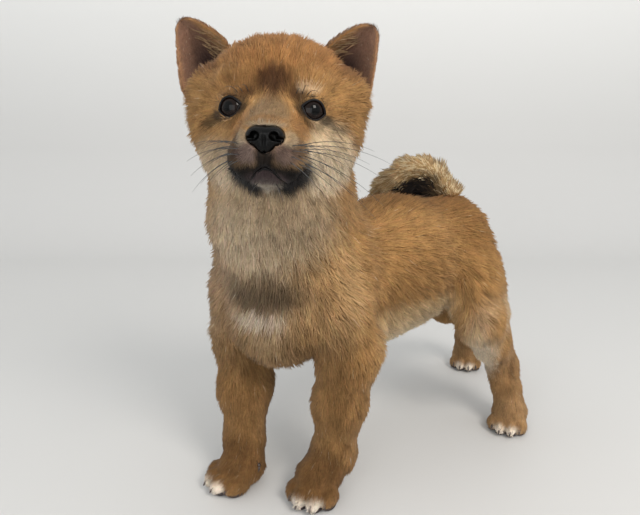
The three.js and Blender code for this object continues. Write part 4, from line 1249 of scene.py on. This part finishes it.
# %% Claws
# claw horn: layered black to brown, with a small hard shine
claw_finish, tree, shader = material("dark_horn_claw", Roughness=0.3, IOR=1.54)
ramp = node(tree, "ShaderNodeValToRGB", Fac=patterned(tree, NOISE, 10 / 9, Detail=3.0))
ramp.color_ramp.elements[0].color, ramp.color_ramp.elements[1].color = rgba("#1A1413"), rgba("#4A3A33")
tree.links.new(ramp.outputs[0], shader.inputs["Base Color"])
t = np.linspace(0, 1, 12)
for name, foot in feet.items():
    paths = []
    k = paw_sizes[name]
    for x, y, r in TOES * k:
        reach = y - 1.45 * r
        stations = [[x, reach + 4.5, 7.6 * k], [1.02 * x, reach + 1.0, 7 * k],
                    [1.05 * x, reach - 1.7, 4 * k]]
        paths.append(at(foot, curve(stations, 2 * t)))
    if name.startswith("front"):
        inside = -1 if name.endswith("left") else 1
        dew = np.array([[11, 9, 18], [14.2, 8.4, 16.5], [15, 7, 13]]) * [inside, 1, 1]
        paths.append(at(foot, curve(dew, 2 * t)))
    radii = np.tile(1.35 * (1 - 0.8 * t ** 2.2), (len(paths), 1))
    points, faces = tubes(paths, radii, 12)
    horns = [f"{name}_claw_{i + 1}" for i in range(4)]
    piece(f"{name}_claws", points, faces, claw_finish, replaced=horns)

# %% Pads
# paw pad: dark rubbery skin with fine grains
pad_finish, tree, shader = material("soft_paw_pad", Base_Color=rgba("#2A2020"), Roughness=0.6)
bumpy(tree, shader, patterned(tree, CELLS, 10 / 13), 0.5, 0.0003)
all_points, all_quads, total = [], [], 0
for name, foot in feet.items():
    k = paw_sizes[name]
    toes = [ball(foot, [x, y - 1.5, 2.2], [0.72 * r, 1.0 * r, 2.4]) for x, y, r in TOES * k]
    sole = joined(1.5, ball(foot, [0, 4.5 * k, 2.2], [8.8 * k, 7.2 * k, 2.6]), *toes)
    middle = at(foot, [0.0, -4.0, 0.0])
    box = [np.arange(c - 26, c + 26, 0.9) for c in middle[:2]] + [np.arange(-1.3, 6.0, 0.7)]
    points, quads = net_of(lambda p: np.maximum(sole(p), 0.02 - p[:, 2]), box)
    all_points.append(points)
    all_quads.append(quads + total)
    total += len(points)
points = np.concatenate(all_points)
points[:, 2] = np.maximum(points[:, 2], 0.02)
piece("paw_pads", points, np.concatenate(all_quads), pad_finish)
print("whiskers, claws and pads done")

# %% [markdown]
# ## Camera, light and floor
#
# The camera is placed by estimate, near the height of the puppy's eyes and about a third of a metre from its
# head. The lens is assumed, and with it the pitch, as the photograph ties the two together but settles
# neither. The light is one soft source high on the right and a weaker one in front, with a pale box all
# round that fills the shadows.

# %% Camera
CAMERA_TURN = np.radians(54.7)  # the camera's heading, which the floor and wall face too
camera = bpy.data.objects.new("camera", bpy.data.cameras.new("camera"))
camera.location = (0.3192, -0.3004, 0.250)
camera.rotation_euler = (np.radians(90 - 13.6), 0, CAMERA_TURN)
camera.data.lens, camera.data.sensor_width = 33.75, 36
camera.data.clip_start = 0.01
bpy.context.scene.collection.objects.link(camera)
bpy.context.scene.camera = camera

# %% Light
def lamp(name, place, target, size, power, colour="#FFFFFF"):
    """A square area lamp that faces its target."""
    data = bpy.data.lights.new(name, "AREA")
    data.size, data.energy, data.color = size, power, linear(colour)
    obj = bpy.data.objects.new(name, data)
    away = unit(np.subtract(place, target).astype(float))
    obj.visible_camera = False
    obj.location = place
    obj.rotation_euler = (np.arccos(away[2]), 0, np.arctan2(away[1], away[0]) + np.pi / 2)
    bpy.context.scene.collection.objects.link(obj)


lamp("key", (0.95, -0.1, 0.95), (0, 0, 0.15), 0.42, 8.5, "#FFF8F0")
lamp("front", (0.7, -0.9, 0.35), (0, -0.05, 0.12), 0.8, 4.5)
world = bpy.data.worlds.new("pale_box")
world.use_nodes = True
world.node_tree.nodes["Background"].inputs["Color"].default_value = rgba("#F1F2F2")
world.node_tree.nodes["Background"].inputs["Strength"].default_value = 1.02
bpy.context.scene.world = world
bpy.context.scene.view_settings.view_transform = "Standard"

# %% Floor and wall
# the board: matt, mid grey as a floor in shade and near white as a lit wall
floor_finish, tree, shader = material("matt_white_board", Roughness=0.6)
bumpy(tree, shader, patterned(tree, NOISE, 50 / 3, Detail=4.0), 0.03, 0.001)
where = node(tree, "ShaderNodeTexCoord").outputs["Object"]
height = node(tree, "ShaderNodeSeparateXYZ", Vector=where).outputs["Z"]
pale = spread(tree, height, 0.18, 0.75, 0.0, 1.0)
board = node(tree, "ShaderNodeMix", {"data_type": "RGBA"}, i0=pale, i6=rgba("#CACAC9"), i7=rgba("#F8F9F8"))
tree.links.new(board.outputs[2], shader.inputs["Base Color"])
u, v = np.meshgrid(np.linspace(-9, 9, 3), np.linspace(0, 1, 40), indexing="ij")
sweep = np.clip((v - 0.45) / 0.2, 0, 1) * np.pi / 2
far = np.where(v < 0.45, -9.0 + v / 0.45 * 9.55, 0.55 + 0.25 * np.sin(sweep))
high = np.where(v < 0.45, 0, 0.25 * (1 - np.cos(sweep))) + np.clip(v - 0.65, 0, 1) * 4
heading = np.array([-np.sin(CAMERA_TURN), np.cos(CAMERA_TURN)])
across = np.array([np.cos(CAMERA_TURN), np.sin(CAMERA_TURN)])
flat = far[..., None] * heading + u[..., None] * across
sheet = np.concatenate([flat, high[..., None]], -1).reshape(-1, 3)
floor_mesh = bpy.data.meshes.new("floor")
floor_mesh.from_pydata(sheet.tolist(), [], grid_faces(3, 40).tolist())
floor_mesh.polygons.foreach_set("use_smooth", np.full(len(floor_mesh.polygons), True))
floor_mesh.materials.append(floor_finish)
floor = bpy.data.objects.new("floor", floor_mesh)
bpy.context.scene.collection.objects.link(floor)
